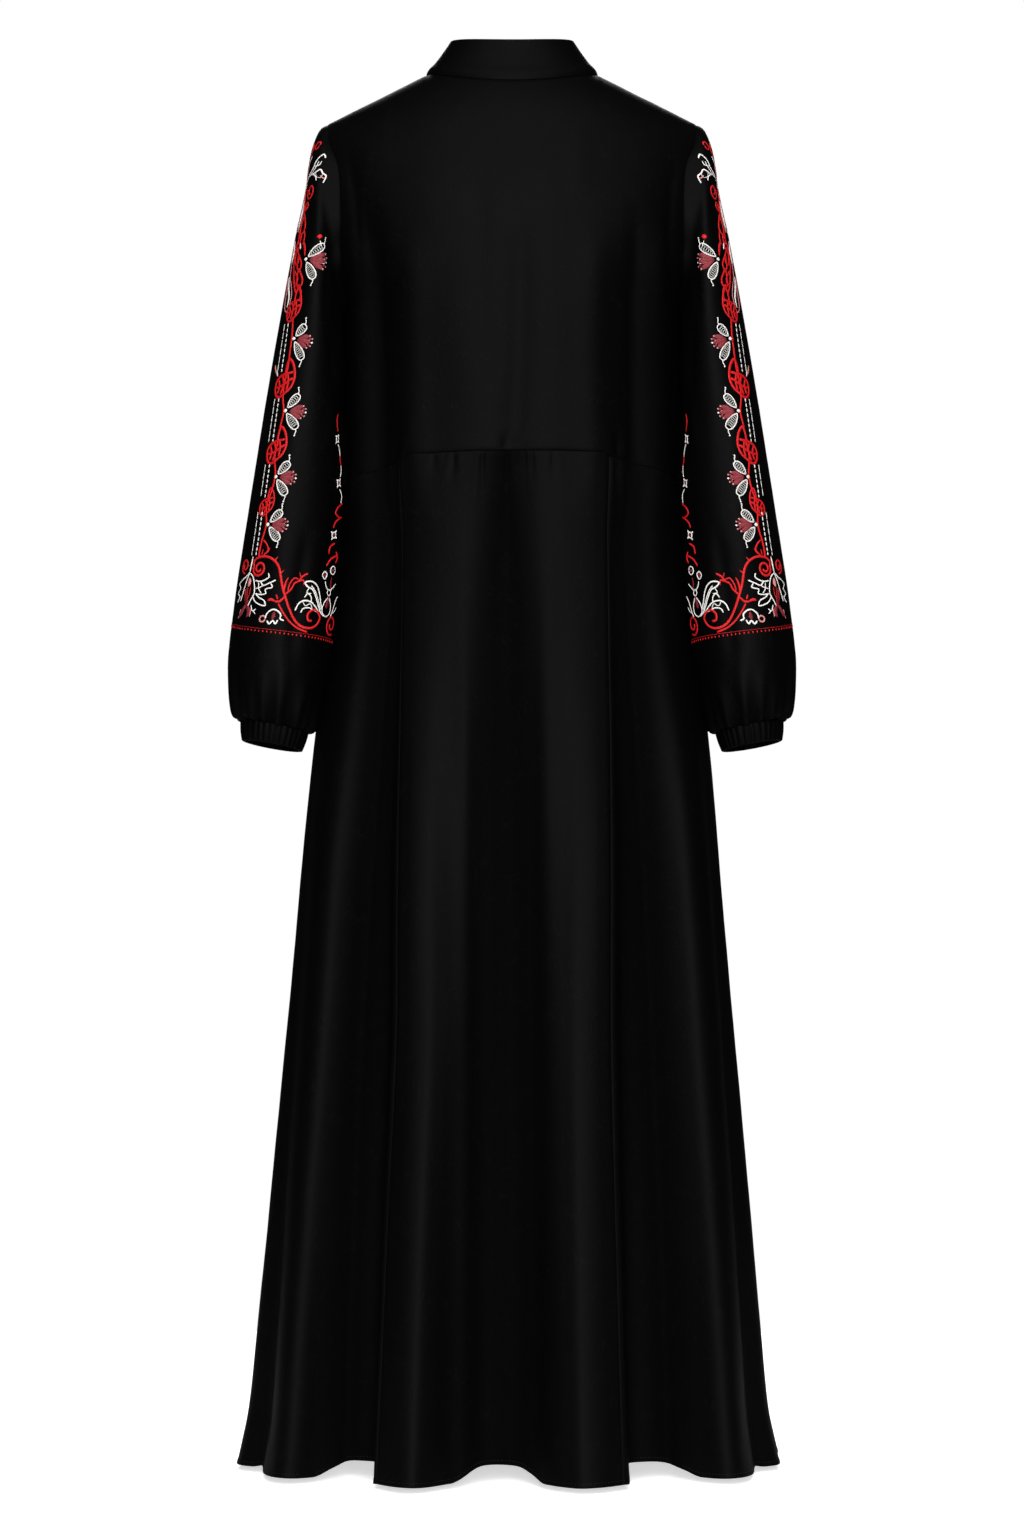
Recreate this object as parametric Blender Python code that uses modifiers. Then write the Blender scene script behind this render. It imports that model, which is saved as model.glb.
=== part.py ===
"""Embroidered abaya in its worn form, hollow, with no wearer.

A stand collar, a fitted bodice, long sleeves gathered into ribbed cuffs, and a panelled
skirt in deep soft folds. Metres, +Z up, the front faces -Y, the wearer's left is +X.
The origin is the centre of the neck base, where the wearer holds the garment up.
"""
import math
from collections import namedtuple

import bpy

NAME = "embroidered_abaya"

# Cloth walls and the seams between pieces
CLOTH_WALL = 0.0016
COLLAR_WALL = 0.0026
HALF_SEAM = 0.0003

# Body sections are superellipses of this power
BODY_POWER = 2.3

# Bodice sections from the shoulder to the waist. Edge is half the width of a panel, flare
# is how far the body's section runs on past the armhole edge, and side_y is where the
# side seam lies, a little before the middle so that the arm hangs clear of it.
Chest = namedtuple("Chest", "z edge flare back front side_y")
CHEST = (
    Chest(z=-0.049, edge=0.1845, flare=0.0155, back=0.113, front=0.120, side_y=0.000),
    Chest(z=-0.070, edge=0.1828, flare=0.0165, back=0.113, front=0.120, side_y=0.000),
    Chest(z=-0.099, edge=0.1735, flare=0.0225, back=0.113, front=0.120, side_y=0.000),
    Chest(z=-0.138, edge=0.1706, flare=0.0225, back=0.113, front=0.120, side_y=0.000),
    Chest(z=-0.190, edge=0.1698, flare=0.0140, back=0.112, front=0.121, side_y=-0.004),
    Chest(z=-0.232, edge=0.1688, flare=0.0000, back=0.110, front=0.120, side_y=-0.013),
    Chest(z=-0.285, edge=0.1711, flare=0.0000, back=0.106, front=0.115, side_y=-0.035),
    Chest(z=-0.340, edge=0.1713, flare=0.0000, back=0.102, front=0.108, side_y=-0.037),
    Chest(z=-0.398, edge=0.1712, flare=0.0000, back=0.100, front=0.104, side_y=-0.036),
)
CHEST_LEVEL = -0.160
UNDERARM = -0.232
BACK_CAP_POWER = 2.0
FRONT_CAP_POWER = 1.6
ROW_HEIGHTS = (-0.398, -0.372, -0.335, -0.295, -0.260, -0.232, -0.220, -0.200, -0.160)
CAP_ANGLES = (20.0, 38.0, 54.0, 68.0, 80.0, 90.0)

# Shoulder line and neckline
SHOULDER_X = 0.1845
SHOULDER_Z = -0.049
NECK_X = 0.0857
BACK_NECK_DROP = 0.013
FRONT_NECK_DROP = 0.040
NECK_ANGLES = (0.0, 18.0, 36.0, 52.0, 66.0, 79.0, 90.0)
SHOULDER_COLUMNS = 7

# Waist seam
WAIST_CENTRE_Z = -0.380
WAIST_SIDE_Z = -0.398
WAIST_X = 0.1712
WAIST_POWER = 2.2

# Stand collar, open edge to edge at the centre front
COLLAR_TOP_X = 0.0605
COLLAR_TOP_BACK = 0.050
COLLAR_TOP_FRONT = 0.056
COLLAR_BACK_HEIGHT = 0.0424
COLLAR_SIDE_HEIGHT = 0.0345
COLLAR_FRONT_HEIGHT = 0.0400
COLLAR_SEAM = 0.0012
COLLAR_CURL = -0.0008
COLLAR_LEVELS = (0.0, 0.12, 0.55, 1.0)

# Plain placket over the centre front opening
PLACKET_WIDTH = 0.028
PLACKET_LIFT = 0.0022
PLACKET_COLUMNS = 4

# Skirt sections from the waist to the hem
Flare = namedtuple("Flare", "z width back front side_y sway")
FLARE = (
    Flare(z=-0.398, width=0.1712, back=0.100, front=0.104, side_y=-0.036, sway=0.0000),
    Flare(z=-0.463, width=0.1738, back=0.105, front=0.109, side_y=-0.036, sway=0.0000),
    Flare(z=-0.523, width=0.1775, back=0.109, front=0.113, side_y=-0.036, sway=0.0000),
    Flare(z=-0.563, width=0.1818, back=0.112, front=0.117, side_y=-0.035, sway=0.0000),
    Flare(z=-0.613, width=0.1900, back=0.117, front=0.122, side_y=-0.033, sway=0.0000),
    Flare(z=-0.655, width=0.1965, back=0.121, front=0.126, side_y=-0.030, sway=0.0000),
    Flare(z=-0.727, width=0.2025, back=0.128, front=0.133, side_y=-0.016, sway=0.0005),
    Flare(z=-0.823, width=0.2098, back=0.135, front=0.140, side_y=-0.004, sway=0.0010),
    Flare(z=-0.967, width=0.2225, back=0.144, front=0.149, side_y=0.000, sway=0.0015),
    Flare(z=-1.111, width=0.2348, back=0.153, front=0.158, side_y=0.000, sway=0.0022),
    Flare(z=-1.255, width=0.2470, back=0.161, front=0.166, side_y=0.000, sway=0.0030),
    Flare(z=-1.327, width=0.2540, back=0.166, front=0.170, side_y=0.000, sway=0.0035),
    Flare(z=-1.382, width=0.2650, back=0.171, front=0.175, side_y=0.000, sway=0.0035),
)
HEM_Z = -1.380
HEM_VALLEY_LIFT = 0.014
HEM_VALLEY_DEPTH = 0.028
SKIRT_LEVELS = (0.0, 0.012, 0.035, 0.07, 0.12, 0.19, 0.28, 0.38, 0.48, 0.58, 0.68, 0.78, 0.89, 1.0)

# Princess seams of the back skirt
Seam = namedtuple("Seam", "z left right")
PRINCESS = (
    Seam(z=-0.380, left=0.1098, right=-0.0945),
    Seam(z=-0.820, left=0.1060, right=-0.0930),
    Seam(z=-0.950, left=0.1050, right=-0.0920),
    Seam(z=-1.120, left=0.1110, right=-0.0950),
    Seam(z=-1.381, left=0.1195, right=-0.1020),
)

# Folds at the hem. Place runs across a panel from 0 to 1, rise is out from the section,
# lean is along it, and start is the height where the fold begins.
Fold = namedtuple("Fold", "place rise lean start")
SEAM_LEFT = Fold(place=0.0, rise=0.014, lean=0.004, start=-0.46)
SEAM_RIGHT = Fold(place=0.0, rise=0.014, lean=-0.004, start=-0.46)
CENTRE_FOLDS = (
    SEAM_RIGHT,
    Fold(place=0.16, rise=0.031, lean=0.000, start=-0.50),
    Fold(place=0.24, rise=0.023, lean=0.000, start=-0.50),
    Fold(place=0.33, rise=-0.003, lean=0.000, start=-0.46),
    Fold(place=0.39, rise=-0.016, lean=0.003, start=-0.43),
    Fold(place=0.50, rise=-0.026, lean=0.000, start=-0.41),
    Fold(place=0.61, rise=-0.017, lean=-0.003, start=-0.43),
    Fold(place=0.67, rise=-0.003, lean=0.000, start=-0.46),
    Fold(place=0.76, rise=0.022, lean=0.000, start=-0.50),
    Fold(place=0.84, rise=0.031, lean=0.000, start=-0.50),
    SEAM_LEFT._replace(place=1.0),
)
BACK_LEFT_FOLDS = (
    SEAM_LEFT,
    Fold(place=0.014, rise=0.012, lean=0.005, start=-0.46),
    Fold(place=0.085, rise=-0.030, lean=-0.004, start=-0.43),
    Fold(place=0.230, rise=-0.016, lean=0.000, start=-0.43),
    Fold(place=0.400, rise=0.020, lean=0.000, start=-0.47),
    Fold(place=0.660, rise=-0.007, lean=0.000, start=-0.62),
    Fold(place=0.800, rise=0.008, lean=0.000, start=-0.62),
    Fold(place=1.000, rise=0.000, lean=0.000, start=-0.45),
)
BACK_RIGHT_FOLDS = (
    SEAM_RIGHT,
    Fold(place=0.014, rise=0.012, lean=-0.005, start=-0.46),
    Fold(place=0.090, rise=-0.028, lean=0.004, start=-0.43),
    Fold(place=0.270, rise=-0.014, lean=0.000, start=-0.43),
    Fold(place=0.430, rise=0.021, lean=0.000, start=-0.47),
    Fold(place=0.680, rise=-0.006, lean=0.000, start=-0.66),
    Fold(place=0.810, rise=0.008, lean=0.000, start=-0.66),
    Fold(place=1.000, rise=0.000, lean=0.000, start=-0.45),
)
FRONT_FOLDS = (
    Fold(place=0.000, rise=0.000, lean=0.000, start=-0.45),
    Fold(place=0.080, rise=0.010, lean=0.000, start=-0.62),
    Fold(place=0.150, rise=-0.010, lean=0.000, start=-0.62),
    Fold(place=0.235, rise=0.024, lean=0.000, start=-0.48),
    Fold(place=0.320, rise=-0.022, lean=0.003, start=-0.43),
    Fold(place=0.410, rise=0.029, lean=0.000, start=-0.48),
    Fold(place=0.495, rise=-0.016, lean=0.000, start=-0.42),
    Fold(place=0.585, rise=0.030, lean=0.000, start=-0.48),
    Fold(place=0.680, rise=-0.024, lean=-0.003, start=-0.43),
    Fold(place=0.770, rise=0.023, lean=0.000, start=-0.48),
    Fold(place=0.855, rise=-0.009, lean=0.000, start=-0.64),
    Fold(place=0.925, rise=0.011, lean=0.000, start=-0.64),
    Fold(place=1.000, rise=0.000, lean=0.000, start=-0.45),
)
SIDE_COLUMNS = (0.0, 0.014, 0.048, 0.085, 0.15, 0.23, 0.31, 0.40, 0.49, 0.58, 0.67, 0.80, 0.91, 1.0)
FRONT_COLUMNS = 38

# Gathers at the centre back waist
GATHER_COUNT = 7
GATHER_FROM = 0.36
GATHER_TO = 0.62
GATHER_DEPTH = 0.0022
GATHER_LENGTH = 0.070
COLUMNS_PER_GATHER = 3
PLAIN_COLUMNS = 8

# Sleeve sections from the sleeve head to the cuff seam. Out and in are the outer and inner
# ends of a section in the front view, depth is half of it front to back, gather is the wave
# drawn in by the cuff, and tilt lifts the back edge. The arm hangs a little behind the
# side seam.
ARM_Y = 0.013
ARM_SHIFT_SECTIONS = 4
Arm = namedtuple("Arm", "out_x out_z in_x in_z depth gather tilt")
ARM = (
    Arm(out_x=0.1920, out_z=-0.0545, in_x=0.1712, in_z=-0.2395, depth=0.0640, gather=0.0000, tilt=0.00),
    Arm(out_x=0.2000, out_z=-0.0760, in_x=0.1718, in_z=-0.2470, depth=0.0665, gather=0.0000, tilt=0.00),
    Arm(out_x=0.2055, out_z=-0.1150, in_x=0.1716, in_z=-0.2600, depth=0.0670, gather=0.0000, tilt=0.00),
    Arm(out_x=0.2150, out_z=-0.1600, in_x=0.1706, in_z=-0.2800, depth=0.0650, gather=0.0000, tilt=0.00),
    Arm(out_x=0.2245, out_z=-0.2100, in_x=0.1699, in_z=-0.3050, depth=0.0620, gather=0.0000, tilt=0.00),
    Arm(out_x=0.2340, out_z=-0.2620, in_x=0.1692, in_z=-0.3350, depth=0.0595, gather=0.0000, tilt=0.00),
    Arm(out_x=0.2425, out_z=-0.3120, in_x=0.1688, in_z=-0.3650, depth=0.0580, gather=0.0000, tilt=0.00),
    Arm(out_x=0.2510, out_z=-0.3650, in_x=0.1692, in_z=-0.3990, depth=0.0570, gather=0.0000, tilt=0.00),
    Arm(out_x=0.2600, out_z=-0.4210, in_x=0.1715, in_z=-0.4440, depth=0.0560, gather=0.0000, tilt=0.00),
    Arm(out_x=0.2690, out_z=-0.4780, in_x=0.1750, in_z=-0.4970, depth=0.0560, gather=0.0000, tilt=0.00),
    Arm(out_x=0.2770, out_z=-0.5330, in_x=0.1795, in_z=-0.5500, depth=0.0565, gather=0.0006, tilt=0.00),
    Arm(out_x=0.2820, out_z=-0.5760, in_x=0.1850, in_z=-0.5930, depth=0.0565, gather=0.0018, tilt=0.02),
    Arm(out_x=0.2808, out_z=-0.6060, in_x=0.1905, in_z=-0.6220, depth=0.0550, gather=0.0030, tilt=0.04),
    Arm(out_x=0.2785, out_z=-0.6270, in_x=0.1955, in_z=-0.6420, depth=0.0500, gather=0.0036, tilt=0.07),
    Arm(out_x=0.2755, out_z=-0.6380, in_x=0.1980, in_z=-0.6515, depth=0.0430, gather=0.0030, tilt=0.09),
    Arm(out_x=0.2695, out_z=-0.6420, in_x=0.2040, in_z=-0.6545, depth=0.0340, gather=0.0014, tilt=0.10),
)
SLEEVE_COLUMNS = 40
SLEEVE_GATHERS = 10
GATHER_STRENGTHS = (1.0, 0.7, 1.1, 0.8, 0.6, 0.3, 0.7, 1.1, 0.7, 0.9)
ARMHOLE_SEAM = 0.0018

# Ribbed elastic cuff
Band = namedtuple("Band", "out_x out_z in_x in_z depth")
CUFF = (
    Band(out_x=0.2695, out_z=-0.6436, in_x=0.2036, in_z=-0.6562, depth=0.0336),
    Band(out_x=0.2697, out_z=-0.6535, in_x=0.2060, in_z=-0.6650, depth=0.0328),
    Band(out_x=0.2685, out_z=-0.6636, in_x=0.2095, in_z=-0.6738, depth=0.0304),
)
CUFF_WALL = 0.0016
CUFF_RIBS = 32
RIB_HEIGHT = 0.0010
CUFF_TILT = 0.10

# Finishes
CREPE_COLOUR = (0.0065, 0.0065, 0.0072, 1.0)
CREPE_ROUGHNESS = 0.78


def lookup(table, column, z):
    """Read a column of a table at height z on a smooth curve through its rows."""
    heights = [row.z for row in table]
    values = [getattr(row, column) for row in table]
    if z >= heights[0]:
        return values[0]
    if z <= heights[-1]:
        return values[-1]
    index = next(i for i in range(len(heights) - 1) if z >= heights[i + 1])

    def slope(i):
        low, high = max(i - 1, 0), min(i + 1, len(heights) - 1)
        return (values[high] - values[low]) / (heights[high] - heights[low])

    span = heights[index + 1] - heights[index]
    t = (z - heights[index]) / span
    start = (2 * t ** 3 - 3 * t ** 2 + 1) * values[index]
    start += (t ** 3 - 2 * t ** 2 + t) * span * slope(index)
    end = (3 * t ** 2 - 2 * t ** 3) * values[index + 1]
    end += (t ** 3 - t ** 2) * span * slope(index + 1)
    return start + end


def ease(t):
    """Soft step from 0 to 1."""
    t = min(max(t, 0.0), 1.0)
    return t * t * (3.0 - 2.0 * t)


def waist_z(x):
    """Height of the waist seam, which dips towards the sides."""
    return WAIST_CENTRE_Z + (WAIST_SIDE_Z - WAIST_CENTRE_Z) * (abs(x) / WAIST_X) ** WAIST_POWER


def shoulder_z(x):
    """Height of the shoulder line, carried on as an arc over the neck."""
    slope = SHOULDER_Z / (SHOULDER_X - NECK_X)
    if abs(x) >= NECK_X:
        return slope * (abs(x) - NECK_X)
    return -0.5 * slope * NECK_X * (1.0 - (x / NECK_X) ** 2)


def neck_z(x, back):
    """Height of the neckline at the back or the front."""
    drop = BACK_NECK_DROP if back else FRONT_NECK_DROP
    return -drop * (1.0 - min(abs(x) / NECK_X, 1.0) ** 2.0)


def section_depth(table, z, back):
    """Distance from the side seam's line to the back or the front of a body section."""
    side_y = lookup(table, "side_y", z)
    if back:
        return lookup(table, "back", z) - side_y
    return lookup(table, "front", z) + side_y


def bodice_y(x, z, back, gap=0.0):
    """Place of the back or front bodice at x and z, with half a seam's gap at its edges."""
    width = lookup(CHEST, "edge", z) + max(lookup(CHEST, "flare", z), 0.0)
    depth = section_depth(CHEST, z, back)
    ratio = min(abs(x) / width, 1.0)
    depth *= (1.0 - ratio ** BODY_POWER) ** (1.0 / BODY_POWER)
    if z > CHEST_LEVEL:
        power = BACK_CAP_POWER if back else FRONT_CAP_POWER
        reach = min((z - CHEST_LEVEL) / (shoulder_z(x) - CHEST_LEVEL), 1.0)
        depth *= (1.0 - reach ** power) ** (1.0 / power)
    facing = 1.0 if back else -1.0
    return lookup(CHEST, "side_y", z) + facing * (depth + gap)


def bodice_point(across, row, back):
    """Point of a bodice panel: across is -1 to 1, row counts up from the waist."""
    power = BACK_CAP_POWER if back else FRONT_CAP_POWER
    if row < len(ROW_HEIGHTS):
        edge_z = ROW_HEIGHTS[row]
        x = across * lookup(CHEST, "edge", edge_z)
        climb = (edge_z - WAIST_SIDE_Z) / (CHEST_LEVEL - WAIST_SIDE_Z)
        z = waist_z(x) + climb * (CHEST_LEVEL - waist_z(x))
    else:
        angle = math.radians(CAP_ANGLES[row - len(ROW_HEIGHTS)])
        edge_z = CHEST_LEVEL + (SHOULDER_Z - CHEST_LEVEL) * math.sin(angle) ** (2.0 / power)
        x = across * lookup(CHEST, "edge", edge_z)
        top = 1.0
        if abs(x) < NECK_X:
            top = (neck_z(x, back) - CHEST_LEVEL) / (shoulder_z(x) - CHEST_LEVEL)
        angle *= math.asin(top ** (power / 2.0)) / (math.pi / 2.0)
        reach = math.sin(angle) ** (2.0 / power)
        z = CHEST_LEVEL + reach * (shoulder_z(x) - CHEST_LEVEL)
    return (x, bodice_y(x, z, back, HALF_SEAM), z)


def neck_columns():
    """Places across half the neckline, shared by the bodice and the collar."""
    return [NECK_X * math.sin(math.radians(angle)) for angle in NECK_ANGLES]


def bodice_columns():
    """Places across half a panel, closer together at the side, one of them at the neck point."""
    neck = [x / SHOULDER_X for x in neck_columns()]
    neck_angle = math.asin((NECK_X / SHOULDER_X) ** (BODY_POWER / 2.0))
    step = (math.pi / 2.0 - neck_angle) / SHOULDER_COLUMNS
    angles = [neck_angle + step * (i + 1) for i in range(SHOULDER_COLUMNS)]
    return neck + [math.sin(a) ** (2.0 / BODY_POWER) for a in angles]


def fold_at(folds, place, z):
    """Rise and lean of the folds across a panel at height z."""
    grown = []
    for fold in folds:
        share = max(fold.start - z, 0.0) / (fold.start - HEM_Z)
        grown.append((fold.place, fold.rise * share ** 1.1, fold.lean * share))
    index = next(i for i in range(len(grown) - 1) if place <= grown[i + 1][0] + 1e-9)
    low, high = grown[index], grown[index + 1]
    t = ease((place - low[0]) / (high[0] - low[0]))
    return low[1] + (high[1] - low[1]) * t, low[2] + (high[2] - low[2]) * t


def skirt_point(angle, folds, place, level, gather=0.0):
    """Point of the skirt: angle is 0 at the centre back, level is 0 at the waist, 1 at the hem."""
    side = math.copysign(1.0, math.sin(angle))
    top_x = side * WAIST_X * abs(math.sin(angle)) ** (2.0 / BODY_POWER)
    top = waist_z(top_x) - 2.0 * HALF_SEAM
    valley = ease(-fold_at(folds, place, HEM_Z)[0] / HEM_VALLEY_DEPTH)
    z = top + level * (HEM_Z + HEM_VALLEY_LIFT * valley - top)
    width = lookup(FLARE, "width", z)
    back = math.cos(angle) > 0.0
    depth = section_depth(FLARE, z, back)
    facing = 1.0 if back else -1.0
    x = side * width * abs(math.sin(angle)) ** (2.0 / BODY_POWER)
    y = facing * depth * abs(math.cos(angle)) ** (2.0 / BODY_POWER)
    out_x = side * (abs(x) / width) ** (BODY_POWER - 1.0) / width
    out_y = facing * (abs(y) / depth) ** (BODY_POWER - 1.0) / depth
    size = math.hypot(out_x, out_y)
    out_x, out_y = out_x / size, out_y / size
    rise, lean = fold_at(folds, place, z)
    fade = 1.0 - ease((top - z) / GATHER_LENGTH)
    rise += gather * fade * (0.6 + 0.4 * ease((top - z) / 0.012))
    x += rise * out_x + lean * out_y + lookup(FLARE, "sway", z)
    y += rise * out_y - lean * out_x + facing * HALF_SEAM + lookup(FLARE, "side_y", z)
    return (x, y, z)


def seam_angle(level, side):
    """Angle of a princess seam round the body at a level of the skirt."""
    z = WAIST_CENTRE_Z + level * (HEM_Z - WAIST_CENTRE_Z)
    x = lookup(PRINCESS, side, z)
    width = lookup(FLARE, "width", z)
    return math.copysign(math.asin((abs(x) / width) ** (BODY_POWER / 2.0)), x)


def seam_step(level):
    """Half a seam's gap as an angle round the body."""
    z = WAIST_CENTRE_Z + level * (HEM_Z - WAIST_CENTRE_Z)
    return 2.0 * HALF_SEAM / (lookup(FLARE, "width", z) + lookup(FLARE, "back", z))


def armhole_point(angle, left=1.0):
    """Point of the sleeve's first ring, just outside the armhole edge."""
    middle, half = 0.5 * (SHOULDER_Z + UNDERARM), 0.5 * (SHOULDER_Z - UNDERARM)
    z = middle + half * math.cos(angle)
    back = math.sin(angle) >= 0.0
    edge = lookup(CHEST, "edge", z)
    return (left * (edge + ARMHOLE_SEAM), bodice_y(edge, z, back), z)


def section_point(section, angle, out=0.0, tilt=0.0, shift=ARM_Y):
    """Point of a sleeve or cuff section: angle 0 is the outer side, a quarter turn the back."""
    half_x = 0.5 * (section.out_x - section.in_x)
    half_z = 0.5 * (section.out_z - section.in_z)
    length = math.hypot(half_x, half_z)
    along, deep = math.cos(angle), math.sin(angle)
    y = (section.depth + out) * deep
    scale = (length + out) / length
    x = section.in_x + half_x + half_x * along * scale
    z = section.in_z + half_z + half_z * along * scale + tilt * y
    return (x, y + shift, z)


def cloth_material(name, colour, roughness):
    """Plain black cloth."""
    material = bpy.data.materials.new(name)
    material.use_nodes = True
    shader = material.node_tree.nodes["Principled BSDF"]
    shader.inputs["Base Color"].default_value = colour
    shader.inputs["Roughness"].default_value = roughness
    shader.inputs["Metallic"].default_value = 0.0
    material.diffuse_color = colour
    return material


def add_mesh(name, points, faces):
    """New object from points and faces, in the garment's collection, with its own cloth."""
    mesh = bpy.data.meshes.new(name)
    mesh.from_pydata(points, [], faces)
    mesh.update()
    mesh.shade_smooth()
    piece = bpy.data.objects.new(name, mesh)
    garment.objects.link(piece)
    mesh.materials.append(cloth_material(name + "_crepe", CREPE_COLOUR, CREPE_ROUGHNESS))
    return piece


def add_panel(name, rows, wall=CLOTH_WALL, tube=False):
    """Cloth panel lofted through rows of points, given its wall by Solidify."""
    columns = len(rows[0])
    points = [point for row in rows for point in row]
    faces = []
    for r in range(len(rows) - 1):
        for c in range(columns if tube else columns - 1):
            right = (c + 1) % columns
            low, high = r * columns, (r + 1) * columns
            faces.append((low + c, low + right, high + right, high + c))
    piece = add_mesh(name, points, faces)
    solidify = piece.modifiers.new("wall", "SOLIDIFY")
    solidify.thickness = wall
    solidify.offset = 0.0
    return piece


def add_collar():
    """Stand collar from the neckline up, leaning in, its ends meeting at the centre front."""
    xs = neck_columns()
    back_half = [(x, True) for x in xs]
    front_half = [(x, False) for x in reversed(xs[:-1])]
    half = back_half + front_half
    rows = []
    for level in COLLAR_LEVELS:
        row = []
        for x, back in half:
            base_z = neck_z(x, back)
            base_y = bodice_y(x, base_z, back)
            ratio = x / NECK_X
            top_x = COLLAR_TOP_X * ratio
            deep = math.sqrt(max(1.0 - ratio ** 2, 0.0))
            top_y = COLLAR_TOP_BACK * deep if back else -COLLAR_TOP_FRONT * deep
            centre_rise = COLLAR_BACK_HEIGHT if back else COLLAR_FRONT_HEIGHT
            rise = COLLAR_SIDE_HEIGHT + (centre_rise - COLLAR_SIDE_HEIGHT) * deep ** 2
            curl = math.sin(math.pi * level) * COLLAR_CURL
            y = base_y + (top_y - base_y) * level + curl * math.copysign(deep, top_y)
            z = base_z + COLLAR_SEAM + (rise - COLLAR_SEAM) * level
            row.append((x + (top_x - x) * level + curl * ratio, y, z))
        row[-1] = (2.0 * HALF_SEAM, row[-1][1], row[-1][2])
        mirrored = [(-x, y, z) for x, y, z in row[1:]]
        rows.append(list(reversed(mirrored)) + row)
    return add_panel("collar", rows, COLLAR_WALL)


def add_bodice():
    """Back bodice in one piece and two front bodices that meet at the centre front."""
    half = bodice_columns()
    whole = [-place for place in reversed(half[1:])] + half
    row_count = len(ROW_HEIGHTS) + len(CAP_ANGLES)
    add_panel("back_bodice", [[bodice_point(a, r, True) for a in whole] for r in range(row_count)])
    for name, side in (("front_bodice_left", 1.0), ("front_bodice_right", -1.0)):
        rows = [[bodice_point(side * a, r, False) for a in half] for r in range(row_count)]
        for row in rows:
            row[0] = (side * HALF_SEAM, row[0][1], row[0][2])
        add_panel(name, rows)


def add_placket():
    """Strip over the front opening, made from the front's own points moved out."""
    rows = []
    for r in range(len(ROW_HEIGHTS) + len(CAP_ANGLES)):
        row = []
        for i in range(PLACKET_COLUMNS + 1):
            place = PLACKET_WIDTH * (i / PLACKET_COLUMNS - 0.5)
            x, y, z = bodice_point(place / SHOULDER_X, r, False)
            row.append((x, y - PLACKET_LIFT, z))
        rows.append(row)
    add_panel("front_placket", rows)


def add_back_skirt():
    """Centre back panel with its waist gathers, and a side back panel on each side."""
    plain_low = [GATHER_FROM * i / PLAIN_COLUMNS for i in range(PLAIN_COLUMNS)]
    steps = GATHER_COUNT * COLUMNS_PER_GATHER
    gathered = [GATHER_FROM + (GATHER_TO - GATHER_FROM) * i / steps for i in range(steps)]
    plain_high = [GATHER_TO + (1.0 - GATHER_TO) * i / PLAIN_COLUMNS for i in range(PLAIN_COLUMNS + 1)]
    centre_places = plain_low + gathered + plain_high
    centre, left, right = [], [], []
    for level in SKIRT_LEVELS:
        low = seam_angle(level, "right") + seam_step(level)
        high = seam_angle(level, "left") - seam_step(level)
        row = []
        for place in centre_places:
            wave = (place - GATHER_FROM) / (GATHER_TO - GATHER_FROM) * GATHER_COUNT
            inside = 0.0 <= wave <= GATHER_COUNT
            gather = GATHER_DEPTH * math.sin(2.0 * math.pi * wave) if inside else 0.0
            angle = low + (high - low) * place
            row.append(skirt_point(angle, CENTRE_FOLDS, place, level, gather))
        centre.append(row)
        for rows, side, folds in ((left, "left", BACK_LEFT_FOLDS), (right, "right", BACK_RIGHT_FOLDS)):
            sign = 1.0 if side == "left" else -1.0
            start = seam_angle(level, side) + sign * seam_step(level)
            end = sign * (math.pi / 2.0 - 1e-6)
            row = [skirt_point(start + (end - start) * p, folds, p, level) for p in SIDE_COLUMNS]
            rows.append(row)
    add_panel("back_skirt_centre", centre)
    add_panel("back_skirt_left", left)
    add_panel("back_skirt_right", right)


def add_front_skirt():
    """Front skirt in one piece from side seam to side seam."""
    rows = []
    for level in SKIRT_LEVELS:
        row = []
        for i in range(FRONT_COLUMNS + 1):
            place = i / FRONT_COLUMNS
            angle = math.pi / 2.0 + 1e-6 + (math.pi - 2e-6) * place
            row.append(skirt_point(angle, FRONT_FOLDS, place, level))
        rows.append(row)
    add_panel("front_skirt", rows)


def add_sleeve(name, side):
    """Sleeve from the armhole to the gathered cuff seam."""
    turn = 2.0 * math.pi / SLEEVE_COLUMNS
    rows = [[armhole_point(turn * c, side) for c in range(SLEEVE_COLUMNS)]]
    for number, section in enumerate(ARM):
        shift = ARM_Y * ease(number / ARM_SHIFT_SECTIONS)
        row = []
        for c in range(SLEEVE_COLUMNS):
            wave = math.cos(turn * c * SLEEVE_GATHERS)
            strength = GATHER_STRENGTHS[c * SLEEVE_GATHERS // SLEEVE_COLUMNS]
            swell = section.gather * strength * wave
            x, y, z = section_point(section, turn * c, swell, section.tilt, shift)
            row.append((side * x, y, z))
        rows.append(row)
    add_panel(name, rows, tube=True)


def add_cuff(name, side):
    """Elastic cuff, ribbed outside over a plain inside."""
    columns = 2 * CUFF_RIBS
    turn = 2.0 * math.pi / columns
    points = []
    for section in CUFF:
        for c in range(columns):
            x, y, z = section_point(section, turn * c, RIB_HEIGHT * (c % 2), CUFF_TILT)
            points.append((side * x, y, z))
    for section in reversed(CUFF):
        for c in range(columns):
            x, y, z = section_point(section, turn * c, -CUFF_WALL, CUFF_TILT)
            points.append((side * x, y, z))
    rings = 2 * len(CUFF)
    faces = []
    for r in range(rings):
        for c in range(columns):
            right = (c + 1) % columns
            low, high = r * columns, (r + 1) % rings * columns
            face = (low + c, high + c, high + right, low + right)
            faces.append(face if side > 0.0 else tuple(reversed(face)))
    add_mesh(name, points, faces)


for old in list(bpy.data.objects):
    bpy.data.objects.remove(old, do_unlink=True)
garment = bpy.data.collections.new(NAME)
bpy.context.scene.collection.children.link(garment)

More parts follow.
